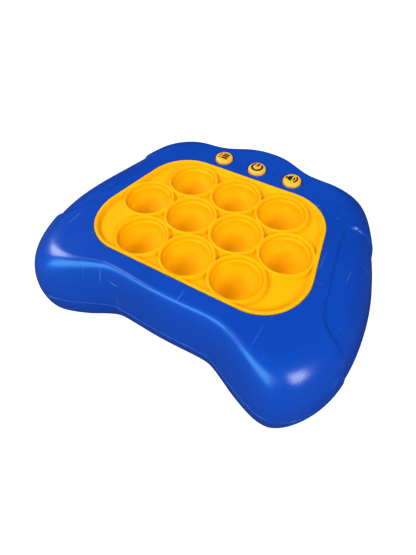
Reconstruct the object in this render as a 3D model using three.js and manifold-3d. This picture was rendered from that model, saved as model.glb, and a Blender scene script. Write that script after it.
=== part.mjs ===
// Electronic bubble pop game: a handheld housing with two grips, a silicone pad of ten dished bubbles
// lit from below, three control buttons behind the pad, and a battery bay and speaker underneath.
// Millimetres, +X to the player's right, +Y away from the player, +Z up. The origin is on the surface
// that the game rests on, below the middle of its width and depth.
import * as THREE from "three";
import { mergeVertices } from "three/addons/utils/BufferGeometryUtils.js";
import Module from "manifold-3d";

const wasm = await Module();
wasm.setup();

// Housing, round the pad. Its height follows from what is stacked inside it.
const rimBesidePad = 26.7;
const rimBehindPad = 30.4;
const rimBeforePad = 25.6;
const partingHeight = 14;
const shellWall = 2.2;
const topSkin = 2.4;
const floorThickness = 2.2;
const bottomRoll = 5.5;
const lipThickness = 1.2;
const lipHeight = 2;
const lipRoot = 3;
const lipDraft = 0.6;
const gripRecessDepth = 1;
const gripRecessFoot = 5;

// Clearances
const seatGap = 0.3;
const slideGap = 0.25;
const solderGap = 0.2;
const overrun = 1;

// Bubble pad, with the margins that its corners leave round the bubbles
const padBackSideMargin = 6.5;
const padMiddleSideMargin = 4.8;
const padFrontSideMargin = 9.4;
const padBackMargin = 2.6;
const padFrontMargin = 0.6;
const padMiddleSetback = 15.2;
const padBackRadius = 23;
const padMiddleRadius = 26;
const padFrontRadius = 21.5;
const padProud = 0.5;
const padFloorDepth = 3;
const padWeb = 1.5;
const padFlangeWidth = 2;
const padFlangeThickness = 1;
const padRimWidth = 3;

// Bubble ring and dish
const ringOuterRadius = 13;
const ringOverlap = 1;
const ringFlankWidth = 0.9;
const ringWidth = 1.7;
const cupLipDrop = 2;
const cupDepth = 6.7;
const cupWall = 1.3;
const nubRadius = 2.5;
const nubLength = 3.7;
const cupTravel = 2.5;

// Light baffle, board and lamps
const baffleBoreMargin = 0.5;
const baffleTubeWall = 1;
const baffleDeck = 1.5;
const boardThickness = 1.6;
const boardRoom = 5.8;
const boardMargin = 8;
const boardTongueWidth = 56;
const boardTongueMargin = 7;
const ledOffset = 6;
const ledBaseSide = 3.6;
const ledBaseHeight = 0.8;
const ledLensRadius = 1.5;
const chipRadius = 6;
const chipHeight = 1.6;

// Control buttons
const buttonSpacing = 20;
const buttonCapRadius = 4.7;
const buttonProud = 2;
const buttonFlangeRadius = 5.6;
const buttonFlangeThickness = 1;
const buttonStemRadius = 1.8;
const buttonTravel = 0.4;
const switchSide = 6;
const switchHeight = 3.6;
const plungerRadius = 1.6;
const plungerLength = 3.6;

// Battery bay, door and cells
const cellRadius = 5.25;
const cellLength = 44.5;
const cellPitch = 11.2;
const cellNubRadius = 1.9;
const cellNubLength = 0.9;
const bayCentreY = -10;
const bayWall = 1.5;
const contactThickness = 0.5;
const springLength = 4.4;
const springRadius = 3.2;
const springTipRadius = 2;
const springWireRadius = 0.35;
const springTurns = 3;
const doorThickness = 1.8;
const doorRecess = 0.2;
const doorLedge = 1.2;
const doorSideMargin = 2.4;
const doorHingeMargin = 5.6;
const doorScrewMargin = 12.6;
const doorRibHeight = 1.3;
const doorRibWidth = 1.2;
const tabWidth = 6;
const tabReach = 2.2;
const tabThickness = 1;

// Speaker
const speakerRadius = 14;
const speakerRim = 1.5;
const speakerRimHeight = 1.5;
const speakerHeight = 8.5;
const magnetRadius = 7.5;
const magnetHeight = 3.6;
const coneThickness = 0.6;
const speakerBehindBay = 22.5;
const grilleSlotWidth = 1.8;
const grilleSlots = 5;
const grillePitch = 4.4;

// Screws and bosses
const screwShankRadius = 1.2;
const screwHeadRadius = 2.5;
const screwHeadHeight = 1.6;
const caseScrewLength = 13;
const boardScrewLength = 8;
const doorScrewLength = 7;
const doorScrewHeadHeight = 0.9;
const bossRadius = 3.6;
const boardBossRadius = 2.8;
const screwSeatHeight = 8;
const doorScrewPlay = 0.6;

// Leads
const leadRadius = 0.6;

// Facets
const outlineFacet = 9;
const innerStride = 2;
const upperSteps = 5;
const lowerSteps = 4;
const hollowSteps = 3;
const ringSides = 16;
const tubeSides = 12;
const smallSides = 10;
const lensSides = 6;
const leadSides = 5;
const screwSides = 6;
const cornerSteps = 4;

// The half outline from the middle of the back to the middle of the front. Each row gives the widest edge and
// the edge of the flat top, as x and y in shares of the half width and half depth, then how square the side
// rolls over between the two and how much of it slopes evenly.
const bodyShares = [
  [0.0, 1.0, 0.0, 0.884, 3.0, 0.2],
  [0.154, 0.966, 0.139, 0.855, 3.0, 0.2],
  [0.314, 0.889, 0.288, 0.767, 3.0, 0.2],
  [0.52, 0.917, 0.434, 0.711, 2.8, 0.2],
  [0.683, 0.867, 0.506, 0.633, 2.5, 0.1],
  [0.803, 0.671, 0.608, 0.548, 2.2, 0.1],
  [0.938, 0.256, 0.624, 0.231, 2.1, 0.1],
  [1.0, -0.243, 0.735, -0.163, 2.1, 0.1],
  [0.956, -0.712, 0.732, -0.509, 2.1, 0.1],
  [0.804, -0.972, 0.677, -0.721, 2.2, 0.1],
  [0.641, -0.991, 0.554, -0.774, 2.6, 0.3],
  [0.371, -0.836, 0.347, -0.71, 3.4, 0.5],
  [0.285, -0.812, 0.285, -0.708, 3.6, 0.5],
  [0.0, -0.824, 0.0, -0.72, 3.6, 0.5],
];

// The recess on the right flank, seen from above, in the same shares.
const gripShares = [
  [0.665, 0.332],
  [0.686, 0.402],
  [0.719, 0.429],
  [0.777, 0.452],
  [0.842, 0.471],
  [0.856, 0.498],
  [1.06, 0.498],
  [1.06, -0.547],
  [0.979, -0.547],
  [0.921, -0.514],
  [0.842, -0.483],
  [0.799, -0.437],
  [0.763, -0.379],
];

// Rows of the body outline whose edge the case bosses stand behind, and how far along the straight stretches
// of the pad outline the board bosses stand.
const caseBossRows = [4.6, 6.8, 9.2];
const boardBossSideShare = 0.42;
const boardBossFrontShare = 0.2;

// The pitch of the bubble rows as a share of the pitch in a row, and how far back the control buttons stand
// between the pad and the housing's back edge.
const rowPitchShare = 0.896;
const buttonPlaceShare = 8 / 30.4;

// How much of a straight stretch of the pad outline the arcs at its two ends may take together, and where a
// blob of resin turns from its crown to its flank, as a share of its height.
const arcReachShare = 0.98;
const resinCrownShare = 0.85;

// Plan sizes that follow from the sizes above
const bubblePitch = 2 * ringOuterRadius - ringOverlap;
const rowPitch = bubblePitch * rowPitchShare;
const ringCrestRadius = ringOuterRadius - ringFlankWidth;
const ringBoreRadius = ringOuterRadius - ringWidth;
const cupRadius = ringBoreRadius - seatGap;
const baffleBoreRadius = ringBoreRadius + baffleBoreMargin;
const padBackWidth = 2 * (bubblePitch + ringOuterRadius + padBackSideMargin);
const padMiddleWidth = 3 * bubblePitch + 2 * (ringOuterRadius + padMiddleSideMargin);
const padFrontWidth = 2 * (bubblePitch + ringOuterRadius + padFrontSideMargin);
const padBackY = rowPitch + ringOuterRadius + padBackMargin;
const padFrontY = -rowPitch - ringOuterRadius - padFrontMargin;
const halfWidth = padMiddleWidth / 2 + rimBesidePad;
const halfDepth = (rimBeforePad - padFrontY + padBackY + rimBehindPad) / 2;
const padCentreY = halfDepth - rimBehindPad - padBackY;
const buttonY = halfDepth - rimBehindPad * (1 - buttonPlaceShare);

// Levels, from the battery door up to the board and on through the bubbles to the housing's top
const doorTopZ = doorRecess + doorThickness;
const ledgeZ = doorTopZ + seatGap;
const cellZ = doorTopZ + doorRibHeight + seatGap + cellRadius;
const bayRoofZ = cellZ + cellRadius + seatGap;
const boardUnderZ = bayRoofZ + bayWall + boardRoom;
const boardTopZ = boardUnderZ + boardThickness;
const nubZ = boardTopZ + seatGap + cupTravel;
const cupLipZ = nubZ + nubLength + cupDepth;
const padCrestZ = cupLipZ + cupLipDrop;
const bodyHeight = padCrestZ - padProud;
const padFloorZ = padCrestZ - padFloorDepth;
const padUnderZ = padFloorZ - padWeb;
const skinUnderZ = bodyHeight - topSkin;
const baffleTopZ = padUnderZ - seatGap;
const baffleFootZ = boardTopZ + seatGap;

// Solids

function solidOf(geometry) {
  geometry.deleteAttribute("normal");
  geometry.deleteAttribute("uv");
  const merged = mergeVertices(geometry);
  const vertProperties = Float32Array.from(merged.attributes.position.array);
  const triVerts = Uint32Array.from(merged.index.array);
  return new wasm.Manifold(new wasm.Mesh({ numProp: 3, vertProperties, triVerts }));
}

function geometryOf(solid) {
  const mesh = solid.getMesh();
  const geometry = new THREE.BufferGeometry();
  geometry.setAttribute("position", new THREE.BufferAttribute(new Float32Array(mesh.vertProperties), 3));
  geometry.setIndex(new THREE.BufferAttribute(new Uint32Array(mesh.triVerts), 1));
  geometry.computeVertexNormals();
  return geometry;
}

function joined(solids) {
  return solids.reduce((whole, solid) => whole.add(solid));
}

function without(solid, cuts) {
  return cuts.reduce((rest, cut) => rest.subtract(cut), solid);
}

// A plate between two heights, with its outline as a list of points.
function plate(outline, low, high) {
  const shape = new THREE.Shape(outline);
  const geometry = new THREE.ExtrudeGeometry(shape, { depth: high - low, bevelEnabled: false });
  geometry.translate(0, 0, low);
  return solidOf(geometry);
}

function block(lowX, highX, lowY, highY, lowZ, highZ) {
  const geometry = new THREE.BoxGeometry(highX - lowX, highY - lowY, highZ - lowZ);
  geometry.translate((lowX + highX) / 2, (lowY + highY) / 2, (lowZ + highZ) / 2);
  return solidOf(geometry);
}

function rod(radius, low, high, x = 0, y = 0, sides = smallSides) {
  const geometry = new THREE.CylinderGeometry(radius, radius, high - low, sides);
  geometry.rotateX(Math.PI / 2);
  geometry.translate(x, y, (low + high) / 2);
  return solidOf(geometry);
}

// A profile of [radius, height] points, from the bottom up its outside and back to its start, turned
// about +Z.
function turned(profile, sides, x = 0, y = 0) {
  const points = profile.map(([radius, height]) => new THREE.Vector2(radius, height));
  const geometry = new THREE.LatheGeometry(points, sides);
  geometry.rotateX(Math.PI / 2);
  geometry.translate(x, y, 0);
  return solidOf(geometry);
}

function meshOf(points, faces) {
  const geometry = new THREE.BufferGeometry();
  const numbers = points.flatMap((point) => [point.x, point.y, point.z]);
  geometry.setAttribute("position", new THREE.Float32BufferAttribute(numbers, 3));
  geometry.setIndex(faces);
  return solidOf(geometry);
}

// The faces between neighbouring rings of points. The rings run anticlockwise seen from above and upwards.
function ringFaces(ringCount, count, closed) {
  const faces = [];
  const spans = closed ? ringCount : ringCount - 1;
  for (let ring = 0; ring < spans; ring++) {
    const above = (ring + 1) % ringCount;
    for (let i = 0; i < count; i++) {
      const next = (i + 1) % count;
      faces.push(ring * count + i, ring * count + next, above * count + next);
      faces.push(ring * count + i, above * count + next, above * count + i);
    }
  }
  return faces;
}

// A solid through rings of points, each as long as the others, with a flat cap at both ends.
function loft(rings) {
  const count = rings[0].length;
  const faces = ringFaces(rings.length, count, false);
  const capFaces = (ring, upward) => {
    const start = ring * count;
    for (const [a, b, c] of THREE.ShapeUtils.triangulateShape(rings[ring], [])) {
      const [p, q, r] = [a, b, c].map((corner) => rings[ring][corner]);
      const turn = (q.x - p.x) * (r.y - p.y) - (q.y - p.y) * (r.x - p.x);
      const kept = turn > 0 === upward ? [a, b, c] : [a, c, b];
      faces.push(...kept.map((corner) => start + corner));
    }
  };
  capFaces(0, false);
  capFaces(rings.length - 1, true);
  return meshOf(rings.flat(), faces);
}

// A closed bead that follows an outline. Its section lists [inset, height] points.
function bead(outlineAt, section) {
  const rings = section.map(([inset, height]) => {
    return outlineAt(inset).map((point) => new THREE.Vector3(point.x, point.y, height));
  });
  return meshOf(rings.flat(), ringFaces(rings.length, rings[0].length, true));
}

// Housing outline

function mirroredShares() {
  const left = bodyShares.slice(1, -1).reverse();
  return [...bodyShares, ...left.map(([x, y, flatX, flatY, ...roll]) => [-x, y, -flatX, flatY, ...roll])];
}

// The whole outline, anticlockwise seen from above, as rows of edge, flat, roundness and slope.
function bodyOutline() {
  const rows = mirroredShares().reverse();
  const pointAt = (row, first) => new THREE.Vector3(row[first] * halfWidth, row[first + 1] * halfDepth, 0);
  const edge = new THREE.CatmullRomCurve3(rows.map((row) => pointAt(row, 0)), true);
  const flat = new THREE.CatmullRomCurve3(rows.map((row) => pointAt(row, 2)), true);
  const samples = [];
  rows.forEach((row, i) => {
    const next = rows[(i + 1) % rows.length];
    const steps = Math.ceil(pointAt(row, 0).distanceTo(pointAt(next, 0)) / outlineFacet);
    for (let step = 0; step < steps; step++) {
      const place = (i + step / steps) / rows.length;
      const blend = THREE.MathUtils.smoothstep(step / steps, 0, 1);
      samples.push({
        edge: edge.getPoint(place),
        flat: flat.getPoint(place),
        roundness: THREE.MathUtils.lerp(row[4], next[4], blend),
        slope: THREE.MathUtils.lerp(row[5], next[5], blend),
        row: rows.length - 1 - (i + step / steps),
      });
    }
  });
  return samples;
}

// Each point of a closed anticlockwise outline, moved inwards.
function insetPoints(points, inset) {
  return points.map((point, i) => {
    const before = points[(i + points.length - 1) % points.length];
    const after = points[(i + 1) % points.length];
    const along = new THREE.Vector3().subVectors(after, before).normalize();
    return new THREE.Vector3(point.x - along.y * inset, point.y + along.x * inset, 0);
  });
}

const fineOutline = bodyOutline();
const coarseOutline = fineOutline.filter((sample, i) => i % innerStride === 0);

function edgeRing(outline, inset, height) {
  const ring = insetPoints(outline.map((sample) => sample.edge), inset);
  return ring.map((point) => new THREE.Vector3(point.x, point.y, height));
}

// A straight-sided solid inside the housing's widest edge.
function edgePrism(inset, low, high) {
  return loft([low, high].map((height) => edgeRing(coarseOutline, inset, height)));
}

// The upper housing's form, moved inwards by an inset, from its foot to its flat top.
function upperForm(outline, inset, foot, top, steps) {
  const edge = edgeRing(outline, inset, foot);
  const flat = insetPoints(outline.map((sample) => sample.flat), inset);
  const rings = [edge];
  for (let step = steps - 1; step >= 0; step--) {
    const angle = (step / steps) * (Math.PI / 2);
    rings.push(outline.map(({ roundness, slope }, i) => {
      const drop = 1 - Math.cos(angle) ** (2 / roundness);
      const reach = (1 - slope) * Math.sin(angle) ** (2 / roundness) + slope * drop;
      const point = flat[i].clone().lerp(edge[i], reach);
      point.z = top - (top - foot) * drop;
      return point;
    }));
  }
  return loft(rings);
}

// The lower housing's form, moved inwards by an inset, rolled under to its flat bottom.
function lowerForm(outline, inset, bottom, top, steps) {
  const rings = [];
  for (let step = steps; step >= 0; step--) {
    const angle = (step / steps) * (Math.PI / 2);
    const height = top - (top - bottom) * Math.sin(angle);
    rings.push(edgeRing(outline, inset + bottomRoll * (1 - Math.cos(angle)), height));
  }
  return loft(rings);
}

// A place behind the housing's edge, at a row of its outline counted from the middle of the back.
function behindEdge(row, inset, side) {
  const distances = fineOutline.map((sample) => Math.abs(sample.row - row));
  const point = edgeRing(fineOutline, inset, 0)[distances.indexOf(Math.min(...distances))];
  return new THREE.Vector2(side * Math.abs(point.x), point.y);
}

// Pad outline: six corners with arcs between straight stretches

const padCorners = [
  [padBackWidth / 2, padBackY, padBackRadius],
  [-padBackWidth / 2, padBackY, padBackRadius],
  [-padMiddleWidth / 2, -padMiddleSetback, padMiddleRadius],
  [-padFrontWidth / 2, padFrontY, padFrontRadius],
  [padFrontWidth / 2, padFrontY, padFrontRadius],
  [padMiddleWidth / 2, -padMiddleSetback, padMiddleRadius],
].map(([x, y, radius]) => ({ corner: new THREE.Vector2(x, y + padCentreY), radius }));

// Each corner's directions and the straight length that its arc takes, shortened where two arcs would meet.
padCorners.forEach((item, i) => {
  const before = padCorners[(i + padCorners.length - 1) % padCorners.length].corner;
  const after = padCorners[(i + 1) % padCorners.length].corner;
  const toBefore = before.clone().sub(item.corner).normalize();
  const toAfter = after.clone().sub(item.corner).normalize();
  item.halfAngle = Math.acos(toBefore.dot(toAfter)) / 2;
  item.toCentre = toBefore.add(toAfter).normalize();
  item.reach = item.radius / Math.tan(item.halfAngle);
});
padCorners.forEach((item, i) => {
  const fits = [i + padCorners.length - 1, i + 1].map((j) => {
    const other = padCorners[j % padCorners.length];
    return (arcReachShare * item.corner.distanceTo(other.corner)) / (item.reach + other.reach);
  });
  item.fittedRadius = item.radius * Math.min(1, ...fits);
});

function padOutline(inset) {
  const points = [];
  padCorners.forEach(({ corner, halfAngle, toCentre, fittedRadius }) => {
    const centre = corner.clone().addScaledVector(toCentre, fittedRadius / Math.sin(halfAngle));
    const outward = Math.atan2(-toCentre.y, -toCentre.x);
    const sweep = Math.PI / 2 - halfAngle;
    for (let step = 0; step <= cornerSteps; step++) {
      const angle = outward + sweep * ((2 * step) / cornerSteps - 1);
      points.push(new THREE.Vector2(
        centre.x + (fittedRadius - inset) * Math.cos(angle),
        centre.y + (fittedRadius - inset) * Math.sin(angle),
      ));
    }
  });
  return points;
}

// A place outside the pad, beside the straight stretch that starts at one corner.
function besidePad(cornerIndex, share, outset) {
  const from = padCorners[cornerIndex].corner;
  const to = padCorners[(cornerIndex + 1) % padCorners.length].corner;
  const along = to.clone().sub(from).normalize();
  return from.clone().lerp(to, share).add(new THREE.Vector2(along.y, -along.x).multiplyScalar(outset));
}

// Places of what repeats

const bubblePlaces = [];
[[1, [-1, 0, 1]], [0, [-1.5, -0.5, 0.5, 1.5]], [-1, [-1, 0, 1]]].forEach(([row, columns]) => {
  columns.forEach((column) => {
    bubblePlaces.push(new THREE.Vector2(column * bubblePitch, padCentreY + row * rowPitch));
  });
});

const lipOutside = shellWall + seatGap;
const lipInside = lipOutside + lipDraft + lipThickness;
const lipTopZ = partingHeight + lipHeight;
const caseBossInset = lipInside + seatGap + bossRadius;
const caseBossPlaces = [1, -1].flatMap((side) => {
  return caseBossRows.map((row) => behindEdge(row, caseBossInset, side));
});

const boardBossOutset = padFlangeWidth + seatGap + boardBossRadius;
const boardBossPlaces = [
  besidePad(5, 1 - boardBossSideShare, boardBossOutset),
  besidePad(1, boardBossSideShare, boardBossOutset),
  besidePad(3, boardBossFrontShare, boardBossOutset),
  besidePad(3, 1 - boardBossFrontShare, boardBossOutset),
];

const buttonNames = ["menu", "power", "sound"];
const buttonPlaces = buttonNames.map((name, i) => new THREE.Vector2((i - 1) * buttonSpacing, buttonY));

// Battery bay, shared by the lower housing, the door, the cells and their contacts

const bayHalfLength = (cellLength + springLength + 2 * contactThickness + 3 * seatGap) / 2;
const bayHalfWidth = (3 * cellPitch + seatGap) / 2;
const bayBackY = bayCentreY + bayHalfWidth;
const bayFrontY = bayCentreY - bayHalfWidth;
const pocketLowX = -bayHalfLength - doorHingeMargin;
const pocketHighX = bayHalfLength + doorScrewMargin;
const pocketLowY = bayFrontY - doorSideMargin;
const pocketHighY = bayBackY + doorSideMargin;
const doorScrewX = pocketHighX - seatGap - screwHeadRadius - doorThickness;
const doorScrewTopZ = doorRecess + doorScrewHeadHeight + doorScrewLength;
const doorBossTopZ = doorScrewTopZ + seatGap + bayWall;
const tabLowZ = floorThickness + seatGap;
const tabPlaces = [-1, 1].map((side) => bayCentreY + side * (bayHalfWidth - tabWidth));
const speakerY = bayBackY + speakerBehindBay;

// Upper housing: a lofted shell with the pad opening, button holes, grip recesses and bosses inside

function gripPrism(side, low, high) {
  const points = gripShares.map(([x, y]) => new THREE.Vector2(side * x * halfWidth, y * halfDepth));
  return plate(side > 0 ? points.reverse() : points, low, high);
}

function upperRecess(side) {
  const top = bodyHeight - gripRecessDepth;
  const kept = upperForm(fineOutline, gripRecessDepth, partingHeight, top, upperSteps);
  return gripPrism(side, partingHeight, bodyHeight + overrun).subtract(kept);
}

function lowerRecess(side) {
  const kept = lowerForm(fineOutline, gripRecessDepth, 0, partingHeight, lowerSteps);
  return gripPrism(side, gripRecessFoot, partingHeight).subtract(kept);
}

function topShell() {
  const foot = partingHeight + seatGap / 2;
  const outer = upperForm(fineOutline, 0, foot, bodyHeight, upperSteps);
  const hollow = upperForm(coarseOutline, shellWall, foot, skinUnderZ, hollowSteps);
  const room = upperForm(coarseOutline, shellWall / 2, foot, bodyHeight - topSkin / 2, hollowSteps);
  const mouth = edgePrism(shellWall, foot - overrun, foot + seatGap);
  const lipRoom = edgePrism(shellWall / 2, foot - overrun, lipTopZ + seatGap)
    .subtract(edgePrism(lipInside + seatGap, foot - 2 * overrun, lipTopZ + overrun));
  const caseBosses = caseBossPlaces.map(({ x, y }) => {
    return rod(bossRadius, partingHeight + 2 * seatGap, bodyHeight, x, y).intersect(room).subtract(lipRoom);
  });
  const boardBosses = boardBossPlaces.map(({ x, y }) => {
    return rod(boardBossRadius, boardTopZ + seatGap, bodyHeight - topSkin / 2, x, y, screwSides);
  });
  const pilotRadius = screwShankRadius + seatGap;
  const casePilotTop = screwSeatHeight + caseScrewLength + seatGap;
  const boardPilotTop = boardUnderZ + boardScrewLength + seatGap;
  const buttonHoleRadius = buttonCapRadius + slideGap;
  const cuts = [
    plate(padOutline(-seatGap), padUnderZ, bodyHeight + overrun),
    ...buttonPlaces.map(({ x, y }) => {
      return rod(buttonHoleRadius, skinUnderZ - overrun, bodyHeight + overrun, x, y, ringSides);
    }),
    ...caseBossPlaces.map(({ x, y }) => rod(pilotRadius, partingHeight, casePilotTop, x, y, screwSides)),
    ...boardBossPlaces.map(({ x, y }) => rod(pilotRadius, boardTopZ, boardPilotTop, x, y, screwSides)),
    upperRecess(1),
    upperRecess(-1),
  ];
  return without(joined([without(outer, [hollow, mouth]), ...caseBosses, ...boardBosses]), cuts);
}

// Lower housing: rolled under to a flat bottom, with a locating lip, screw wells, the battery bay and
// its door pocket, and the speaker grille

function speakerSlots() {
  const slots = [];
  const reach = speakerRadius - speakerRim - grilleSlotWidth;
  for (let slot = 0; slot < grilleSlots; slot++) {
    const y = (slot - (grilleSlots - 1) / 2) * grillePitch;
    const halfLength = Math.sqrt(Math.max(reach * reach - y * y, grilleSlotWidth * grilleSlotWidth));
    const lowY = speakerY + y - grilleSlotWidth / 2;
    const topZ = floorThickness + overrun;
    slots.push(block(-halfLength, halfLength, lowY, lowY + grilleSlotWidth, -overrun, topZ));
  }
  return slots;
}

function bottomShell() {
  const rimZ = partingHeight - seatGap / 2;
  const outer = lowerForm(fineOutline, 0, 0, rimZ, lowerSteps);
  const hollow = lowerForm(coarseOutline, shellWall, floorThickness, rimZ, hollowSteps);
  const mouth = edgePrism(shellWall, rimZ - seatGap, rimZ + overrun);
  const room = lowerForm(coarseOutline, shellWall / 2, 0, partingHeight + overrun, hollowSteps);
  const lip = bead((inset) => edgeRing(coarseOutline, inset, 0), [
    [shellWall / 2, rimZ - lipRoot],
    [shellWall / 2, rimZ - seatGap],
    [lipOutside, rimZ - seatGap],
    [lipOutside + lipDraft, lipTopZ],
    [lipInside, lipTopZ],
    [lipInside, rimZ - lipRoot / 2],
  ]);
  const wellRadius = screwHeadRadius + 2 * seatGap;
  const wells = caseBossPlaces.map(({ x, y }) => {
    return rod(wellRadius + bayWall, 0, partingHeight + seatGap, x, y, screwSides).intersect(room);
  });
  const bay = block(-bayHalfLength - bayWall, bayHalfLength + bayWall,
    bayFrontY - bayWall, bayBackY + bayWall, 0, bayRoofZ + bayWall);
  const ledge = block(pocketLowX - shellWall, pocketHighX + shellWall,
    pocketLowY - shellWall, pocketHighY + shellWall, 0, ledgeZ + doorLedge);
  const doorBoss = rod(bossRadius, ledgeZ, doorBossTopZ, doorScrewX, bayCentreY);
  const speakerWall = turned([
    [speakerRadius + seatGap, 0],
    [speakerRadius + seatGap + bayWall, 0],
    [speakerRadius + seatGap + bayWall, floorThickness + seatGap + speakerRimHeight],
    [speakerRadius + seatGap, floorThickness + seatGap + speakerRimHeight],
    [speakerRadius + seatGap, 0],
  ], tubeSides, 0, speakerY);
  const tabHighZ = tabLowZ + tabThickness + tabReach;
  const cuts = [
    ...caseBossPlaces.map(({ x, y }) => rod(wellRadius, -overrun, screwSeatHeight, x, y)),
    ...caseBossPlaces.map(({ x, y }) => {
      return rod(screwShankRadius + seatGap, 0, partingHeight + overrun, x, y, screwSides);
    }),
    block(-bayHalfLength, bayHalfLength, bayFrontY, bayBackY, -overrun, bayRoofZ),
    block(pocketLowX, pocketHighX, pocketLowY, pocketHighY, -overrun, ledgeZ),
    ...tabPlaces.map((y) => block(pocketLowX - shellWall - overrun, -bayHalfLength - bayWall - seatGap,
      y - tabWidth / 2 - seatGap, y + tabWidth / 2 + seatGap, floorThickness, tabHighZ)),
    rod(screwShankRadius + doorScrewPlay, 0, doorBossTopZ - bayWall, doorScrewX, bayCentreY),
    ...contactSlots(),
    ...speakerSlots(),
    lowerRecess(1),
    lowerRecess(-1),
  ];
  const shell = without(outer, [hollow, mouth]);
  return without(joined([shell, lip, ...wells, bay, ledge, doorBoss, speakerWall]), cuts);
}

// Battery contacts. Each single one has a tab through the bay's roof, for its lead.

const contactEndX = bayHalfLength - seatGap / 2;
const leadTabWidth = 3;
const leadTabTopZ = bayRoofZ + bayWall + leadTabWidth;
const contactTabPlaces = [[1, -1], [-1, 1]];

function cellY(column) {
  return bayCentreY + column * cellPitch;
}

function contactSlots() {
  return contactTabPlaces.map(([end, column]) => {
    const inner = end * (contactEndX - contactThickness - seatGap);
    const outer = end * (contactEndX + seatGap);
    return block(Math.min(inner, outer), Math.max(inner, outer),
      cellY(column) - leadTabWidth / 2 - seatGap, cellY(column) + leadTabWidth / 2 + seatGap,
      bayRoofZ - overrun, bayRoofZ + bayWall + overrun);
  });
}

// A cone of wire that winds inwards from its plate, as one unbroken tube.
function contactSpring() {
  const stepsPerTurn = 6;
  const sides = 5;
  const rings = [];
  const steps = springTurns * stepsPerTurn;
  for (let step = 0; step <= steps; step++) {
    const share = step / steps;
    const angle = share * springTurns * 2 * Math.PI;
    const radius = THREE.MathUtils.lerp(springRadius, springTipRadius, share);
    const height = THREE.MathUtils.lerp(0, springLength - springWireRadius, share);
    const ring = [];
    for (let side = 0; side < sides; side++) {
      const around = (side / sides) * 2 * Math.PI;
      const out = radius + springWireRadius * Math.cos(around);
      ring.push(new THREE.Vector3(out * Math.cos(angle), out * Math.sin(angle),
        height + springWireRadius * Math.sin(around)));
    }
    rings.push(ring.reverse());
  }
  const faces = ringFaces(rings.length, sides, false);
  const last = (rings.length - 1) * sides;
  for (let side = 1; side + 1 < sides; side++) {
    faces.push(0, side + 1, side);
    faces.push(last, last + side, last + side + 1);
  }
  return meshOf(rings.flat(), faces);
}

// A contact plate at one end of the bay, across the cells of its columns, with a spring at each cell's
// flat end.
function contact(end, columns, springColumns, hasTab) {
  const halfHeight = cellRadius - seatGap;
  const lowY = cellY(Math.min(...columns)) - halfHeight;
  const highY = cellY(Math.max(...columns)) + halfHeight;
  const innerX = end * (contactEndX - contactThickness);
  const outerX = end * contactEndX;
  const lowX = Math.min(innerX, outerX);
  const highX = Math.max(innerX, outerX);
  const pieces = [block(lowX, highX, lowY, highY, cellZ - halfHeight, cellZ + halfHeight)];
  if (hasTab) {
    const y = cellY(columns[0]);
    pieces.push(block(lowX, highX, y - leadTabWidth / 2, y + leadTabWidth / 2, cellZ, leadTabTopZ));
  }
  springColumns.forEach((column) => {
    const turn = new THREE.Matrix4().makeRotationY((-end * Math.PI) / 2);
    const place = new THREE.Matrix4().makeTranslation(innerX, cellY(column), cellZ);
    pieces.push(contactSpring().transform(place.multiply(turn).elements));
  });
  return joined(pieces);
}

function cell() {
  return turned([
    [0, -cellLength / 2],
    [cellRadius, -cellLength / 2],
    [cellRadius, cellLength / 2 - cellNubLength],
    [cellNubRadius, cellLength / 2 - cellNubLength],
    [cellNubRadius, cellLength / 2],
    [0, cellLength / 2],
  ], smallSides);
}

// Battery door: two tabs hook over the floor behind the pocket's edge, and a screw holds the other end

function batteryDoor() {
  const lowX = pocketLowX + seatGap;
  const highX = pocketHighX - seatGap;
  const lowY = pocketLowY + seatGap;
  const highY = pocketHighY - seatGap;
  const panel = block(lowX, highX, lowY, highY, doorRecess, doorTopZ);
  const ribs = [-1, 1].map((side) => {
    const x = (side * cellLength) / 4;
    return block(x - doorRibWidth / 2, x + doorRibWidth / 2, bayFrontY + seatGap, bayBackY - seatGap,
      doorTopZ - seatGap, doorTopZ + doorRibHeight);
  });
  const tabs = tabPlaces.flatMap((y) => [
    block(lowX, lowX + tabThickness, y - tabWidth / 2, y + tabWidth / 2,
      doorTopZ - seatGap, tabLowZ + tabThickness),
    block(lowX - tabReach, lowX + tabThickness, y - tabWidth / 2, y + tabWidth / 2,
      tabLowZ, tabLowZ + tabThickness),
  ]);
  const headRadius = screwHeadRadius + seatGap;
  const cuts = [
    rod(headRadius, -overrun, doorRecess + doorScrewHeadHeight + seatGap, doorScrewX, bayCentreY),
    rod(screwShankRadius + seatGap, 0, doorTopZ + overrun, doorScrewX, bayCentreY, screwSides),
  ];
  return without(joined([panel, ...ribs, ...tabs]), cuts);
}

// A screw with its bearing face at the origin, its shank up and its head down
function screw(length, headHeight) {
  return turned([
    [0, -headHeight],
    [screwHeadRadius, -headHeight],
    [screwHeadRadius, 0],
    [screwShankRadius, 0],
    [screwShankRadius, length - screwShankRadius],
    [0, length],
  ], screwSides);
}

// Silicone pad: a flange clamped under the housing's opening, a raised rim, a sunken web and ten rings

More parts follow.
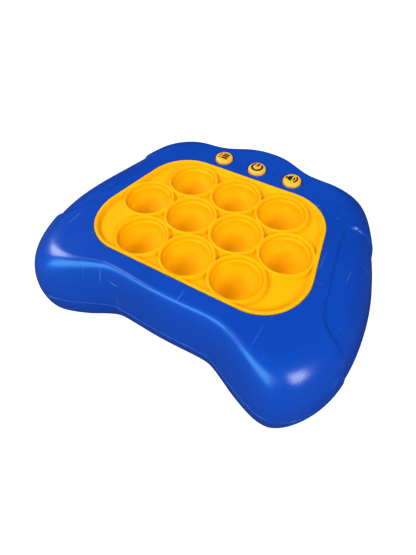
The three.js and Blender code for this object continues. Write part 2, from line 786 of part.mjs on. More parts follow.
function bubblePad() {
  const flange = plate(padOutline(-padFlangeWidth), padUnderZ, padUnderZ + padFlangeThickness);
  const web = plate(padOutline(0), padUnderZ, padFloorZ);
  const rimRound = padRimWidth / 4;
  const rim = bead(padOutline, [
    [0, padUnderZ],
    [0, padCrestZ - rimRound],
    [rimRound, padCrestZ],
    [padRimWidth / 2, padCrestZ],
    [padRimWidth - rimRound, padCrestZ - rimRound],
    [padRimWidth, padFloorZ],
    [padRimWidth, padUnderZ],
  ]);
  const crestHalf = (ringOuterRadius - ringCrestRadius) / 2;
  const rings = bubblePlaces.map(({ x, y }) => turned([
    [ringBoreRadius - crestHalf, padUnderZ],
    [ringOuterRadius, padUnderZ],
    [ringCrestRadius + crestHalf, padCrestZ - crestHalf],
    [ringCrestRadius, padCrestZ],
    [ringBoreRadius - crestHalf, padCrestZ - 2 * crestHalf],
    [ringBoreRadius - crestHalf, padUnderZ],
  ], ringSides, x, y));
  const bores = bubblePlaces.map(({ x, y }) => {
    return rod(ringBoreRadius, padUnderZ - overrun, padCrestZ + overrun, x, y, ringSides);
  });
  return without(joined([flange, web, rim, ...rings]), bores);
}

// A dished bubble with a lip, and a nub below it that reaches down to the board. Its lip is at the
// origin's height.
function bubbleCup() {
  const mouthRadius = cupRadius - cupWall / 2;
  const sphereRadius = (mouthRadius * mouthRadius + cupDepth * cupDepth) / (2 * cupDepth);
  const mouthAngle = Math.asin(mouthRadius / sphereRadius);
  const steps = 3;
  const inside = [];
  const outside = [];
  for (let step = 0; step <= steps; step++) {
    const angle = (step / steps) * mouthAngle;
    const centreZ = sphereRadius - cupDepth;
    inside.push([sphereRadius * Math.sin(angle), centreZ - sphereRadius * Math.cos(angle)]);
    outside.push([
      Math.min((sphereRadius + cupWall) * Math.sin(angle), cupRadius),
      centreZ - (sphereRadius + cupWall) * Math.cos(angle),
    ]);
  }
  const nubFoot = nubZ - cupLipZ;
  const nubTopZ = -cupDepth - cupWall / 2;
  const profile = [
    [0, nubFoot],
    [nubRadius, nubFoot],
    [nubRadius, nubTopZ],
    ...outside.slice(1, -1),
    [cupRadius, -cupWall / 2],
    [mouthRadius, 0],
    ...inside.slice(1, -1).reverse(),
    [0, -cupDepth],
  ];
  return turned(profile, ringSides);
}

// Light baffle: a deck under the pad with a tube round each bubble, which keeps each lamp's light in
// its own cup

function lightBaffle() {
  const deck = plate(padOutline(-padFlangeWidth), baffleTopZ - baffleDeck, baffleTopZ);
  const deckMiddleZ = baffleTopZ - baffleDeck / 2;
  const inside = plate(padOutline(baffleDeck - padFlangeWidth), baffleFootZ - overrun, deckMiddleZ);
  const skirt = plate(padOutline(-padFlangeWidth), baffleFootZ, baffleTopZ).subtract(inside);
  const tubes = bubblePlaces.map(({ x, y }) => {
    return rod(baffleBoreRadius + baffleTubeWall, baffleFootZ, deckMiddleZ, x, y, tubeSides);
  });
  const bores = bubblePlaces.map(({ x, y }) => {
    return rod(baffleBoreRadius, baffleFootZ - overrun, baffleTopZ + overrun, x, y, tubeSides);
  });
  return without(joined([deck, skirt, ...tubes]), bores);
}

function mainBoard() {
  const tongueBackY = buttonY + boardTongueMargin;
  const halfTongue = boardTongueWidth / 2;
  const panel = plate(padOutline(-boardMargin), boardUnderZ, boardTopZ)
    .add(block(-halfTongue, halfTongue, padCentreY, tongueBackY, boardUnderZ, boardTopZ));
  const holes = boardBossPlaces.map(({ x, y }) => {
    return rod(screwShankRadius + seatGap, boardUnderZ - overrun, boardTopZ + overrun, x, y, screwSides);
  });
  return without(panel, holes);
}

function lamp() {
  const half = ledBaseSide / 2;
  const base = block(-half, half, -half, half, 0, ledBaseHeight);
  const lens = turned([
    [0, ledBaseHeight / 2],
    [ledLensRadius, ledBaseHeight / 2],
    [ledLensRadius * Math.SQRT1_2, ledBaseHeight + ledLensRadius * Math.SQRT1_2],
    [0, ledBaseHeight + ledLensRadius],
  ], lensSides);
  return base.add(lens);
}

function controllerChip() {
  return turned([
    [0, -chipHeight],
    [chipRadius / 2, -chipHeight * resinCrownShare],
    [chipRadius, 0],
    [0, 0],
  ], smallSides);
}

// Control buttons: a domed cap kept in by its flange, whose stem rests on a push switch on the board's tongue

const plungerTopZ = boardTopZ + solderGap + switchHeight + plungerLength / 2;

function buttonCap() {
  const flangeTopZ = skinUnderZ - seatGap;
  const flangeZ = flangeTopZ - buttonFlangeThickness;
  const topZ = bodyHeight + buttonProud;
  const round = buttonCapRadius / 6;
  return turned([
    [0, plungerTopZ + seatGap],
    [buttonStemRadius, plungerTopZ + seatGap],
    [buttonStemRadius, flangeZ],
    [buttonFlangeRadius, flangeZ],
    [buttonFlangeRadius, flangeTopZ],
    [buttonCapRadius, flangeTopZ],
    [buttonCapRadius, topZ - round],
    [buttonCapRadius - round, topZ - round / 4],
    [0, topZ],
  ], ringSides);
}

function buttonSwitch() {
  const half = switchSide / 2;
  const well = rod(plungerRadius + slideGap, switchHeight / 3, switchHeight + overrun, 0, 0, screwSides);
  return block(-half, half, -half, half, 0, switchHeight).subtract(well);
}

function switchPlunger() {
  const foot = -plungerLength / 2 + buttonTravel;
  return rod(plungerRadius, foot, plungerLength / 2, 0, 0, screwSides);
}

// Speaker: a basket with a rim that lies on the floor's ribs, its magnet on top, and the cone hung in the rim

function speakerFrame() {
  const neck = magnetRadius - speakerRim;
  const magnetZ = speakerHeight - magnetHeight;
  return turned([
    [speakerRadius - speakerRim, 0],
    [speakerRadius, 0],
    [speakerRadius, speakerRimHeight],
    [magnetRadius, magnetZ],
    [magnetRadius, speakerHeight],
    [0, speakerHeight],
    [0, magnetZ],
    [neck, magnetZ - speakerRim],
    [speakerRadius - speakerRim, speakerRimHeight],
    [speakerRadius - speakerRim, 0],
  ], tubeSides);
}

function speakerCone() {
  const outer = speakerRadius - speakerRim - 2 * seatGap;
  const inner = magnetRadius / 2;
  const rise = speakerRimHeight;
  return turned([
    [0, rise],
    [inner, rise],
    [outer - coneThickness, 0],
    [outer, 0],
    [outer, coneThickness],
    [inner, rise + coneThickness],
    [0, rise + coneThickness],
  ], smallSides);
}

// A short lead along its own route
function lead(route) {
  const path = new THREE.CatmullRomCurve3(route.map(([x, y, z]) => new THREE.Vector3(x, y, z)));
  const round = new THREE.Shape().absarc(0, 0, leadRadius, 0, 2 * Math.PI);
  const section = new THREE.Shape(round.getSpacedPoints(leadSides));
  const geometry = new THREE.ExtrudeGeometry(section, { steps: 2 * (route.length - 1), extrudePath: path });
  return solidOf(geometry);
}

// Finishes

function look(color, roughness, metalness = 0) {
  return new THREE.MeshStandardMaterial({ color, roughness, metalness });
}

const housingBlue = look(0x1048c0, 0.22);
const siliconeYellow = look(0xffb30f, 0.45);
const capAmber = look(0xf7a71c, 0.4);
const innerWhite = look(0xe8e8e2, 0.5);
const boardGreen = look(0x1c6b3a, 0.5);
const lampClear = look(0xf4f2e6, 0.2);
const chipBlack = look(0x141414, 0.4);
const switchBlack = look(0x26262a, 0.5);
const steel = look(0xb9bcc0, 0.35, 1);
const cellGreen = look(0x2f8a4a, 0.35);
const leadRed = look(0xb52020, 0.5);
const leadBlack = look(0x1a1a1a, 0.5);
const coneGrey = look(0x3a3a3c, 0.8);

// Assembly

const game = new THREE.Group();

function addPiece(name, geometry, material, x = 0, y = 0, z = 0) {
  const mesh = new THREE.Mesh(geometry, material);
  mesh.name = name;
  mesh.position.set(x, y, z);
  game.add(mesh);
  return mesh;
}

addPiece("top_shell", geometryOf(topShell()), housingBlue);
addPiece("bottom_shell", geometryOf(bottomShell()), housingBlue);
addPiece("bubble_pad", geometryOf(bubblePad()), siliconeYellow);
addPiece("light_baffle", geometryOf(lightBaffle()), innerWhite);
addPiece("main_board", geometryOf(mainBoard()), boardGreen);

const cupGeometry = geometryOf(bubbleCup());
const lampGeometry = geometryOf(lamp());
bubblePlaces.forEach(({ x, y }, i) => {
  addPiece(`bubble_cup_${i + 1}`, cupGeometry, siliconeYellow, x, y, cupLipZ);
  addPiece(`led_${i + 1}`, lampGeometry, lampClear, x, y + ledOffset, boardTopZ + solderGap);
});

const capGeometry = geometryOf(buttonCap());
const switchGeometry = geometryOf(buttonSwitch());
const plungerGeometry = geometryOf(switchPlunger());
buttonPlaces.forEach(({ x, y }, i) => {
  const name = buttonNames[i];
  addPiece(`button_cap_${name}`, capGeometry, capAmber, x, y);
  addPiece(`button_switch_${name}`, switchGeometry, switchBlack, x, y, boardTopZ + solderGap);
  addPiece(`switch_plunger_${name}`, plungerGeometry, switchBlack, x, y, plungerTopZ - plungerLength / 2);
});

addPiece("controller_chip", geometryOf(controllerChip()), chipBlack, 0, bayCentreY, boardUnderZ - solderGap);

addPiece("battery_door", geometryOf(batteryDoor()), housingBlue);
addPiece("battery_door_screw", geometryOf(screw(doorScrewLength, doorScrewHeadHeight)), steel,
  doorScrewX, bayCentreY, doorRecess + doorScrewHeadHeight);

// The middle cell is turned round, so that the three are in series.
const cellGeometry = geometryOf(cell());
const springSideX = (springLength + seatGap / 2) / 2;
[-1, 0, 1].forEach((column, i) => {
  const end = column === 0 ? -1 : 1;
  const mesh = addPiece(`battery_${i + 1}`, cellGeometry, cellGreen, end * springSideX, cellY(column), cellZ);
  mesh.rotation.y = (end * Math.PI) / 2;
});
addPiece("contact_positive", geometryOf(contact(1, [-1], [], true)), steel);
addPiece("contact_negative", geometryOf(contact(-1, [1], [1], true)), steel);
addPiece("contact_bridge_front", geometryOf(contact(-1, [-1, 0], [-1], false)), steel);
addPiece("contact_bridge_back", geometryOf(contact(1, [0, 1], [0], false)), steel);

const speakerZ = floorThickness + seatGap;
addPiece("speaker_frame", geometryOf(speakerFrame()), steel, 0, speakerY, speakerZ);
addPiece("speaker_cone", geometryOf(speakerCone()), coneGrey, 0, speakerY, speakerZ);

const caseScrewGeometry = geometryOf(screw(caseScrewLength, screwHeadHeight));
caseBossPlaces.forEach(({ x, y }, i) => {
  addPiece(`case_screw_${i + 1}`, caseScrewGeometry, steel, x, y, screwSeatHeight - seatGap);
});
const boardScrewGeometry = geometryOf(screw(boardScrewLength, screwHeadHeight));
boardBossPlaces.forEach(({ x, y }, i) => {
  addPiece(`board_screw_${i + 1}`, boardScrewGeometry, steel, x, y, boardUnderZ - seatGap);
});

const tabX = contactEndX + leadRadius + seatGap;
const leadFootZ = leadTabTopZ - leadRadius;
const boardSolderZ = boardUnderZ - seatGap;
const leadBend = 3;
addPiece("battery_lead_red", geometryOf(lead([
  [tabX, cellY(-1), leadFootZ],
  [tabX + leadBend, cellY(-1), leadFootZ],
  [tabX + 2 * leadBend, cellY(-1), (leadFootZ + boardSolderZ) / 2],
  [tabX + 2 * leadBend, cellY(-1), boardSolderZ],
])), leadRed);
addPiece("battery_lead_black", geometryOf(lead([
  [-tabX, cellY(1), leadFootZ],
  [-tabX - leadBend, cellY(1), leadFootZ],
  [-tabX - 2 * leadBend, cellY(1), (leadFootZ + boardSolderZ) / 2],
  [-tabX - 2 * leadBend, cellY(1), boardSolderZ],
])), leadBlack);
const speakerLeads = [[-1, "speaker_lead_left", leadRed], [1, "speaker_lead_right", leadBlack]];
speakerLeads.forEach(([side, name, material]) => {
  const x = (side * speakerRadius) / 3;
  const startY = speakerY - Math.sqrt(speakerRadius ** 2 - x ** 2) - leadRadius - 2 * seatGap;
  addPiece(name, geometryOf(lead([
    [x, startY, speakerZ + speakerRimHeight + leadRadius],
    [x, startY - leadRadius, speakerZ + speakerHeight],
    [x, startY, (speakerZ + speakerHeight + boardSolderZ) / 2],
    [x, startY, boardSolderZ],
  ])), material);
});

export default game;
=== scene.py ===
# %% [markdown]
# # An electronic bubble pop game, dressed in Blender
#
# The toy is a blue moulded housing with two grips, a yellow silicone pad with ten dished bubbles, and three
# amber buttons behind it. The imported model gives every part its place. This lesson gives each part that shows
# its fine shape and its finish, then lights it as in a small studio. It begins with that model, which nothing
# here moves.

# %% The imported model
import math
import bmesh
import bpy
import numpy as np
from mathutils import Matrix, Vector
from mathutils.geometry import delaunay_2d_cdt


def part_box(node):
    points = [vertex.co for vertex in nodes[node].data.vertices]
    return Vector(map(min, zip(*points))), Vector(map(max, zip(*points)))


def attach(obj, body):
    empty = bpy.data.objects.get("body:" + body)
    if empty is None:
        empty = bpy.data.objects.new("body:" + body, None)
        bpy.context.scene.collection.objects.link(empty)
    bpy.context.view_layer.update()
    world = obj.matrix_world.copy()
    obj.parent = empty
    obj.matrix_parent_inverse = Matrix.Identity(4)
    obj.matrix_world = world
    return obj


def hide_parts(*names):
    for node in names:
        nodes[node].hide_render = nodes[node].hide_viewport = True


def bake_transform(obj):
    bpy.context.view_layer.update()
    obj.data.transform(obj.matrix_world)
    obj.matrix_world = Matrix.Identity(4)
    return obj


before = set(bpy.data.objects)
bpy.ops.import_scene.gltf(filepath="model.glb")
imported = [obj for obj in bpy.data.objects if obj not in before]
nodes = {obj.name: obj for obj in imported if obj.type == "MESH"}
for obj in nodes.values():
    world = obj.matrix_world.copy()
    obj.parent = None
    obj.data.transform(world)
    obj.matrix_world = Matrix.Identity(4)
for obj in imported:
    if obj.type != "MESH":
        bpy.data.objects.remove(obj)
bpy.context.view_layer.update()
MM = 0.001
print("nodes in the model:", len(nodes))

# %% [markdown]
# The photograph was taken from the front right corner, about 20 cm away, with a wide view. The camera comes
# first, because each later step is judged through it.

# %% The camera
camera = bpy.data.objects.new("camera", bpy.data.cameras.new("camera"))
bpy.context.scene.collection.objects.link(camera)
bpy.context.scene.camera = camera
camera.location = Vector((69.09, -113.80, 167.79)) * MM
camera.rotation_euler = [math.radians(angle) for angle in (37.124, 1.824, 31.197)]
camera.data.sensor_width = 36
camera.data.lens = 25.008
camera.data.clip_start = 0.01
print("camera at", [round(value, 4) for value in camera.location])

# %% [markdown]
# Nearly every part of this toy is a skin through rings: the housing, its cutters, the dishes, the buttons and
# the screws. By hand that is a circle which is extruded again and again, with each new ring moved and sized.
# The helper does the same. The circle's vertices carry a column number, and an extruded ring inherits it, so
# the ring can be set to its places. The two open ends are filled, and the normals are made to agree.

# %% A skin through rings
def alone(piece):
    """Selects one piece and nothing else."""
    bpy.ops.object.select_all(action="DESELECT")
    piece.select_set(True)
    bpy.context.view_layer.objects.active = piece


def faced_outwards():
    """Turns all faces of the piece in edit mode outwards, and leaves edit mode."""
    bpy.ops.mesh.select_all(action="SELECT")
    bpy.ops.mesh.normals_make_consistent(inside=False)
    bpy.ops.object.mode_set(mode="OBJECT")


def place_selected(piece, points):
    """Sets the selected vertices to their columns' places, given in millimetres."""
    mesh = bmesh.from_edit_mesh(piece.data)
    column = mesh.verts.layers.int["column"]
    for vertex in mesh.verts:
        if vertex.select:
            vertex.co = Vector(points[vertex[column]]) * MM
    bmesh.update_edit_mesh(piece.data)


def skin(name, rings):
    """A closed piece through rings of points, in millimetres, all with the same number of points."""
    bpy.ops.object.select_all(action="DESELECT")
    bpy.ops.mesh.primitive_circle_add(vertices=len(rings[0]), radius=0.01)
    piece = bpy.context.object
    piece.name = name
    column = piece.data.attributes.new("column", "INT", "POINT")
    column.data.foreach_set("value", range(len(rings[0])))
    bpy.ops.object.mode_set(mode="EDIT")
    bpy.ops.mesh.select_all(action="SELECT")
    place_selected(piece, rings[0])
    for ring in rings[1:]:
        bpy.ops.mesh.extrude_region_move()
        place_selected(piece, ring)
    bpy.ops.mesh.edge_face_add()
    bpy.ops.mesh.select_all(action="DESELECT")
    bpy.ops.mesh.select_non_manifold()
    bpy.ops.mesh.edge_face_add()
    faced_outwards()
    return piece


def prism(name, outline, levels):
    """A piece with one outline at several heights. A level is a height and how far the outline moves out."""
    return skin(name, [[(x, y, z) for x, y in outline(outset)] for z, outset in levels])


def disc(x, y, radius, sides=64):
    """The outline of a round piece."""
    angles = [math.tau * side / sides for side in range(sides)]
    return lambda out: [(x + (radius + out) * math.cos(a), y + (radius + out) * math.sin(a)) for a in angles]


def turned(name, x, y, profile, sides=64):
    """A round piece from its profile of radii and heights."""
    return prism(name, disc(x, y, 0, sides), [(z, radius) for radius, z in profile])


def rectangle(low_x, high_x, low_y, high_y, corner, steps=6):
    """The outline of a rectangle with rounded corners."""
    centres = [(high_x, high_y), (low_x, high_y), (low_x, low_y), (high_x, low_y)]

    def outline(out):
        points = []
        for index, (x, y) in enumerate(centres):
            side_x = 1 if x == high_x else -1
            side_y = 1 if y == high_y else -1
            for step in range(steps + 1):
                angle = math.pi / 2 * (index + step / steps)
                points.append((x - side_x * corner + (corner + out) * math.cos(angle),
                               y - side_y * corner + (corner + out) * math.sin(angle)))
        return points

    return outline


# %% [markdown]
# Openings, wells and bosses are booleans, as moulds are cut. The Manifold solver is quick and keeps both
# pieces' faces clean. Edges are sharp only above an angle, and Weighted Normal lets wide flat faces decide
# their corners' normals, so a small rounded lip beside a flat top shades as a moulded edge does.

# %% Cutting, joining and smoothing
def modified(piece, kind, **settings):
    """Adds a modifier with its settings and applies it."""
    alone(piece)
    bpy.ops.object.modifier_add(type=kind)
    modifier = piece.modifiers[-1]
    for name, value in settings.items():
        setattr(modifier, name, value)
    bpy.ops.object.modifier_apply(modifier=modifier.name)


def combined(piece, other, operation="DIFFERENCE"):
    """Cuts the other piece from the first, or joins it on, and removes the other."""
    modified(piece, "BOOLEAN", operation=operation, solver="MANIFOLD", object=other)
    bpy.data.objects.remove(other)
    return piece


def joined(piece, other):
    """Joins the other piece on."""
    return combined(piece, other, "UNION")


def smoothed(piece, angle=35):
    """Shades the piece smooth, with sharp edges above an angle in degrees."""
    alone(piece)
    bpy.ops.object.shade_smooth_by_angle(angle=math.radians(angle))
    modified(piece, "WEIGHTED_NORMAL", keep_sharp=True)
    print(piece.name, "faces:", len(piece.data.polygons))
    return piece


# %% [markdown]
# A colour is written as it looks on a screen, and the shader wants it linear. Each finish starts from one
# Principled shader, with the numbers that are the same all over on its own sockets. Only what varies over the
# surface is linked. It comes from noise on Object coordinates, so it stays with the piece from every side.

# %% Finishes
def tone(red, green, blue):
    """A screen colour, 0 to 255, as the shader's linear colour."""
    parts = [value / 255 for value in (red, green, blue)]
    return [p / 12.92 if p <= 0.04045 else ((p + 0.055) / 1.055) ** 2.4 for p in parts] + [1.0]


def plug(socket, value):
    """Gives a socket a number or a colour, or links another node's output to it."""
    if isinstance(value, bpy.types.NodeSocket):
        socket.id_data.links.new(value, socket)
    else:
        socket.default_value = value


def set_sockets(node, **values):
    """Plugs values into a node's sockets by name, with an underscore for each space."""
    for name, value in values.items():
        plug(node.inputs[name.replace("_", " ")], value)
    return node


def in_order(node, *values):
    """Plugs values into a node's first sockets, and returns its first output."""
    for socket, value in zip(node.inputs, values):
        plug(socket, value)
    return node.outputs[0]


def added(owner, kind, **values):
    """A new node in a material or a world, with the named sockets set."""
    return set_sockets(owner.node_tree.nodes.new(kind), **values)


def finish(name, colour, roughness, **values):
    """A new material with one Principled shader. Returns the material and the shader."""
    material = bpy.data.materials.new(name)
    material.use_nodes = True
    shader = material.node_tree.nodes["Principled BSDF"]
    return material, set_sockets(shader, Base_Color=colour, Roughness=roughness, **values)


def noise(material, scale, detail=3.0, stretch=(1, 1, 1), slant=0.0):
    """Noise on Object coordinates, scale in waves per metre, slanted and stretched. Returns its socket."""
    place = added(material, "ShaderNodeTexCoord").outputs["Object"]
    turn = (0, 0, math.radians(slant))
    mapping = added(material, "ShaderNodeMapping", Vector=place, Scale=stretch, Rotation=turn)
    mapped = mapping.outputs["Vector"]
    return added(material, "ShaderNodeTexNoise", Vector=mapped, Scale=scale, Detail=detail).outputs["Fac"]


def ramped(material, value, low, high, from_low, from_high):
    """The value, stretched so that low and high become the new two, and held between them."""
    node = added(material, "ShaderNodeMapRange", Value=value, From_Min=from_low, From_Max=from_high)
    return set_sockets(node, To_Min=low, To_Max=high).outputs["Result"]


def mixed(material, factor, first, second):
    """A colour between two colours, by a factor."""
    node = added(material, "ShaderNodeMix")
    node.data_type = "RGBA"
    for index, value in ((0, factor), (6, first), (7, second)):
        plug(node.inputs[index], value)
    return node.outputs[2]


def calculated(owner, operation, *values):
    """The result of a Math node."""
    node = added(owner, "ShaderNodeMath")
    node.operation = operation
    return in_order(node, *values)


def grained(material, shader, height, depth):
    """Gives the shader's surface a relief. The depth is in metres."""
    relief = added(material, "ShaderNodeBump", Height=height, Distance=depth)
    set_sockets(shader, Normal=relief.outputs["Normal"])


def put_on(piece, material, body=None, stands_for=()):
    """Dresses a finished piece: its material, the body it moves with and the nodes it replaces."""
    piece.data.materials.clear()
    piece.data.materials.append(material)
    if body:
        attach(piece, body)
    if stands_for:
        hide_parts(*stands_for)
    return piece


# %% [markdown]
# The housing is glossy blue plastic that small hands have used: faint haze in wide patches, an almost
# invisible waviness of the mould, a few hairline scratches and specks where the colour is rubbed lighter. A
# scratch is noise that is stretched about 30 times along a slanted line, and kept only at its highest peaks.

# %% The housing's blue plastic
RUBBED = tone(96, 140, 212)
blue, blue_shader = finish("blue_moulded_plastic", tone(2, 64, 173), 0.4, Specular_IOR_Level=0.12,
                           Specular_Tint=(0.02, 0.6, 1.0, 1.0), Coat_Weight=0.8, Coat_Roughness=0.25)
haze = ramped(blue, noise(blue, 90, 4), 0.34, 0.46, 0.35, 0.7)
patches = ramped(blue, noise(blue, 25, 2), 0, 1, 0.3, 0.7)
blue_tones = mixed(blue, patches, tone(1, 61, 169), tone(2, 66, 177))
scratch = ramped(blue, noise(blue, 1500, 1, (1, 0.03, 0.03), 35), 0, 0.6, 0.75, 0.8)
scratch_across = ramped(blue, noise(blue, 1300, 1, (0.03, 1, 0.03), 20), 0, 0.6, 0.76, 0.81)
speck = ramped(blue, noise(blue, 900, 1), 0, 0.9, 0.79, 0.83)
scratches = calculated(blue, "MAXIMUM", scratch, scratch_across)
marks = calculated(blue, "MAXIMUM", scratches, speck)
set_sockets(blue_shader, Roughness=haze, Base_Color=mixed(blue, marks, blue_tones, RUBBED))
grained(blue, blue_shader, noise(blue, 900, 3), 0.000006)
print("blue plastic's nodes:", len(blue.node_tree.nodes))

# %% [markdown]
# The housing's outline is the same few rows as in the model: the widest edge, the flat top's edge, how round
# the roll between them is, and how far its side leans. The model joins them with few facets. Here a cubic
# spline through the rows, closed on itself, gives a curve whose bend changes nowhere suddenly, because a
# glossy moulding shows each jump as a kink in its reflections.

# %% The housing's outline
HALF_WIDTH = 82.0
HALF_DEPTH = 65.0
TOP = 38.0
PARTING = 14.0
COLUMNS = 640
body_shares = [
    (0.0, 1.0, 0.0, 0.884, 3.0, 0.2), (0.154, 0.966, 0.139, 0.855, 3.0, 0.2),
    (0.314, 0.889, 0.288, 0.767, 3.0, 0.2), (0.52, 0.917, 0.434, 0.711, 2.8, 0.2),
    (0.683, 0.867, 0.506, 0.633, 2.6, 0.1), (0.803, 0.671, 0.608, 0.548, 2.4, 0.1),
    (0.938, 0.256, 0.624, 0.231, 2.5, 0.1), (1.0, -0.243, 0.735, -0.163, 2.6, 0.1),
    (0.956, -0.712, 0.732, -0.509, 2.5, 0.1), (0.804, -0.972, 0.677, -0.721, 2.3, 0.1),
    (0.641, -0.991, 0.554, -0.774, 2.4, 0.3), (0.371, -0.852, 0.36, -0.712, 2.8, 0.5),
    (0.27, -0.826, 0.22, -0.71, 3.0, 0.5), (0.0, -0.836, 0.0, -0.72, 3.0, 0.5),
]


def evenly(rows, count):
    """Rows of numbers along a closed curve, at places evenly spaced along their first two columns."""
    closed = np.vstack([rows, rows[:1]])
    along = np.concatenate([[0], np.cumsum(np.linalg.norm(np.diff(closed[:, :2], axis=0), axis=1))])
    places = np.linspace(0, along[-1], count, endpoint=False)
    return np.stack([np.interp(places, along, closed[:, k]) for k in range(closed.shape[1])], axis=1)


def closed_spline(rows, count):
    """A smooth closed curve through rows of numbers."""
    steps = np.sqrt(np.linalg.norm(np.roll(rows, -1, axis=0)[:, :2] - rows[:, :2], axis=1))
    knots = len(rows)
    system = np.zeros((knots, knots))
    change = (np.roll(rows, -1, axis=0) - rows) / steps[:, None]
    for i in range(knots):
        system[i, i - 1] += steps[i - 1]
        system[i, i] += 2 * (steps[i - 1] + steps[i])
        system[i, (i + 1) % knots] += steps[i]
    bends = np.linalg.solve(system, 6 * (change - np.roll(change, 1, axis=0)))
    pieces = []
    for i in range(knots):
        share = np.linspace(0, 1, 200, endpoint=False)[:, None]
        left = rows[i] * (1 - share) + rows[(i + 1) % knots] * share
        curve = (1 - share) ** 3 - (1 - share)
        other = share ** 3 - share
        pieces.append(left + steps[i] ** 2 / 6 * (curve * bends[i] + other * bends[(i + 1) % knots]))
    return evenly(np.vstack(pieces), count)


scale = np.array([HALF_WIDTH, HALF_DEPTH, HALF_WIDTH, HALF_DEPTH, 1, 1])
right_half = np.array(body_shares) * scale
left_half = right_half[1:-1][::-1] * np.array([-1, 1, -1, 1, 1, 1])
around = closed_spline(np.vstack([right_half, left_half])[::-1], COLUMNS)
print("outline reaches", around[:, :2].min(axis=0).round(2), around[:, :2].max(axis=0).round(2))

# %% [markdown]
# Each column of the upper housing rolls from the widest edge to the flat top along part of a superellipse.
# The rings are spaced evenly along that roll, so the quads stay about square. The lower housing rolls under
# along a quarter ellipse to a flat bottom, less far below the front of each grip. Both rims are rounded a
# little where the halves meet, which makes the parting line that runs round the toy.

# %% The forms of the housing's two halves
WALL = 2.2
RIM = 0.4
SEAM = 0.15
UPPER_RINGS = 56
LOWER_RINGS = 26
ROLL_UNDER = 5.5
LESS_AT_GRIPS = 2.5


def ramp(values, start, end):
    """0 before the start, 1 after the end, and a straight ramp between them."""
    return np.clip((values - start) / (end - start), 0, 1)


def moved_in(points, inset):
    """The points of a closed outline, moved inwards."""
    along = np.roll(points, -1, axis=0) - np.roll(points, 1, axis=0)
    along /= np.linalg.norm(along, axis=1)[:, None]
    return points + inset * np.stack([-along[:, 1], along[:, 0]], axis=1)


def rim_rings(ring, rim, level, way):
    """Rings that round a rim, from the ring where it starts to its level. The way is 1 above it, -1 below."""
    rings = []
    for angle in np.radians([30, 60, 90]) if rim else []:
        edge = ring.copy()
        edge[:, :2] = moved_in(ring[:, :2], rim * (1 - math.cos(angle)))
        edge[:, 2] = level + way * rim * (1 - math.sin(angle))
        rings.append(edge)
    return rings


def upper_rings(rows, inset, foot, top, count, rim=0.0):
    """Rings from the housing's widest edge to the edge of its flat top."""
    edge = moved_in(rows[:, :2], inset)
    flat = moved_in(rows[:, 2:4], inset)
    roundness = rows[:, 4]
    slope = rows[:, 5]
    angles = np.linspace(math.pi / 2, 0, 400)[:, None]
    drop = 1 - np.cos(angles) ** (2 / roundness)
    reach = (1 - slope) * np.sin(angles) ** (2 / roundness) + slope * drop
    x = flat[:, 0] + (edge[:, 0] - flat[:, 0]) * reach
    y = flat[:, 1] + (edge[:, 1] - flat[:, 1]) * reach
    z = top - (top - foot) * drop
    steps = np.sqrt(np.diff(x, axis=0) ** 2 + np.diff(y, axis=0) ** 2 + np.diff(z, axis=0) ** 2)
    along = np.vstack([np.zeros(len(rows)), np.cumsum(steps, axis=0)])
    rings = np.zeros((count, len(rows), 3))
    for column in range(len(rows)):
        places = np.linspace(rim, along[-1, column], count)
        for axis, values in enumerate((x, y, z)):
            rings[:, column, axis] = np.interp(places, along[:, column], values[:, column])
    return rim_rings(rings[0], rim, foot, 1)[::-1] + list(rings)


def lower_rings(rows, inset, bottom, top, count, rim=0.0):
    """Rings from the flat bottom's edge up to the housing's widest edge."""
    rings = []
    across = np.abs(rows[:, :1])
    at_grips = ramp(across, 25, 40) * ramp(across, 76, 62) * ramp(-rows[:, 1:2], 40, 52)
    roll = ROLL_UNDER - LESS_AT_GRIPS * at_grips
    for angle in np.linspace(math.pi / 2, 0, count):
        ring = np.zeros((len(rows), 3))
        ring[:, :2] = moved_in(rows[:, :2], inset + roll * (1 - math.cos(angle)))
        ring[:, 2] = top - rim - (top - rim - bottom) * math.sin(angle)
        rings.append(ring)
    return rings + rim_rings(rings[-1], rim, top, -1)


upper = skin("housing_upper", upper_rings(around, 0, PARTING + SEAM, TOP, UPPER_RINGS, RIM))
lower = skin("housing_lower", lower_rings(around, 0, 0, PARTING - SEAM, LOWER_RINGS, RIM))
print("points in the upper and the lower half:", len(upper.data.vertices), len(lower.data.vertices))

# %% [markdown]
# On each flank the mould has a shallow finger recess with a soft edge, 1 mm deep. Its outline is a short list
# of corners, cut round a few times. Each vertex gets a weight from its distance to that outline, and Displace
# pushes the weighted vertices inwards along their normals.

# %% The finger recesses
RECESS_DEPTH = 1.0
RECESS_EDGE = 0.65
RECESS_FOOT = (4.0, 6.5)
grip_shares = [
    (0.665, 0.332), (0.686, 0.402), (0.719, 0.429), (0.777, 0.452), (0.842, 0.471), (0.856, 0.498),
    (1.06, 0.498), (1.06, -0.547), (0.979, -0.547), (0.921, -0.514), (0.842, -0.483), (0.799, -0.437),
    (0.763, -0.379),
]
grip = np.array(grip_shares) * np.array([HALF_WIDTH, HALF_DEPTH])
for _ in range(3):
    following = np.roll(grip, -1, axis=0)
    grip = np.stack([0.75 * grip + 0.25 * following, 0.25 * grip + 0.75 * following], axis=1).reshape(-1, 2)


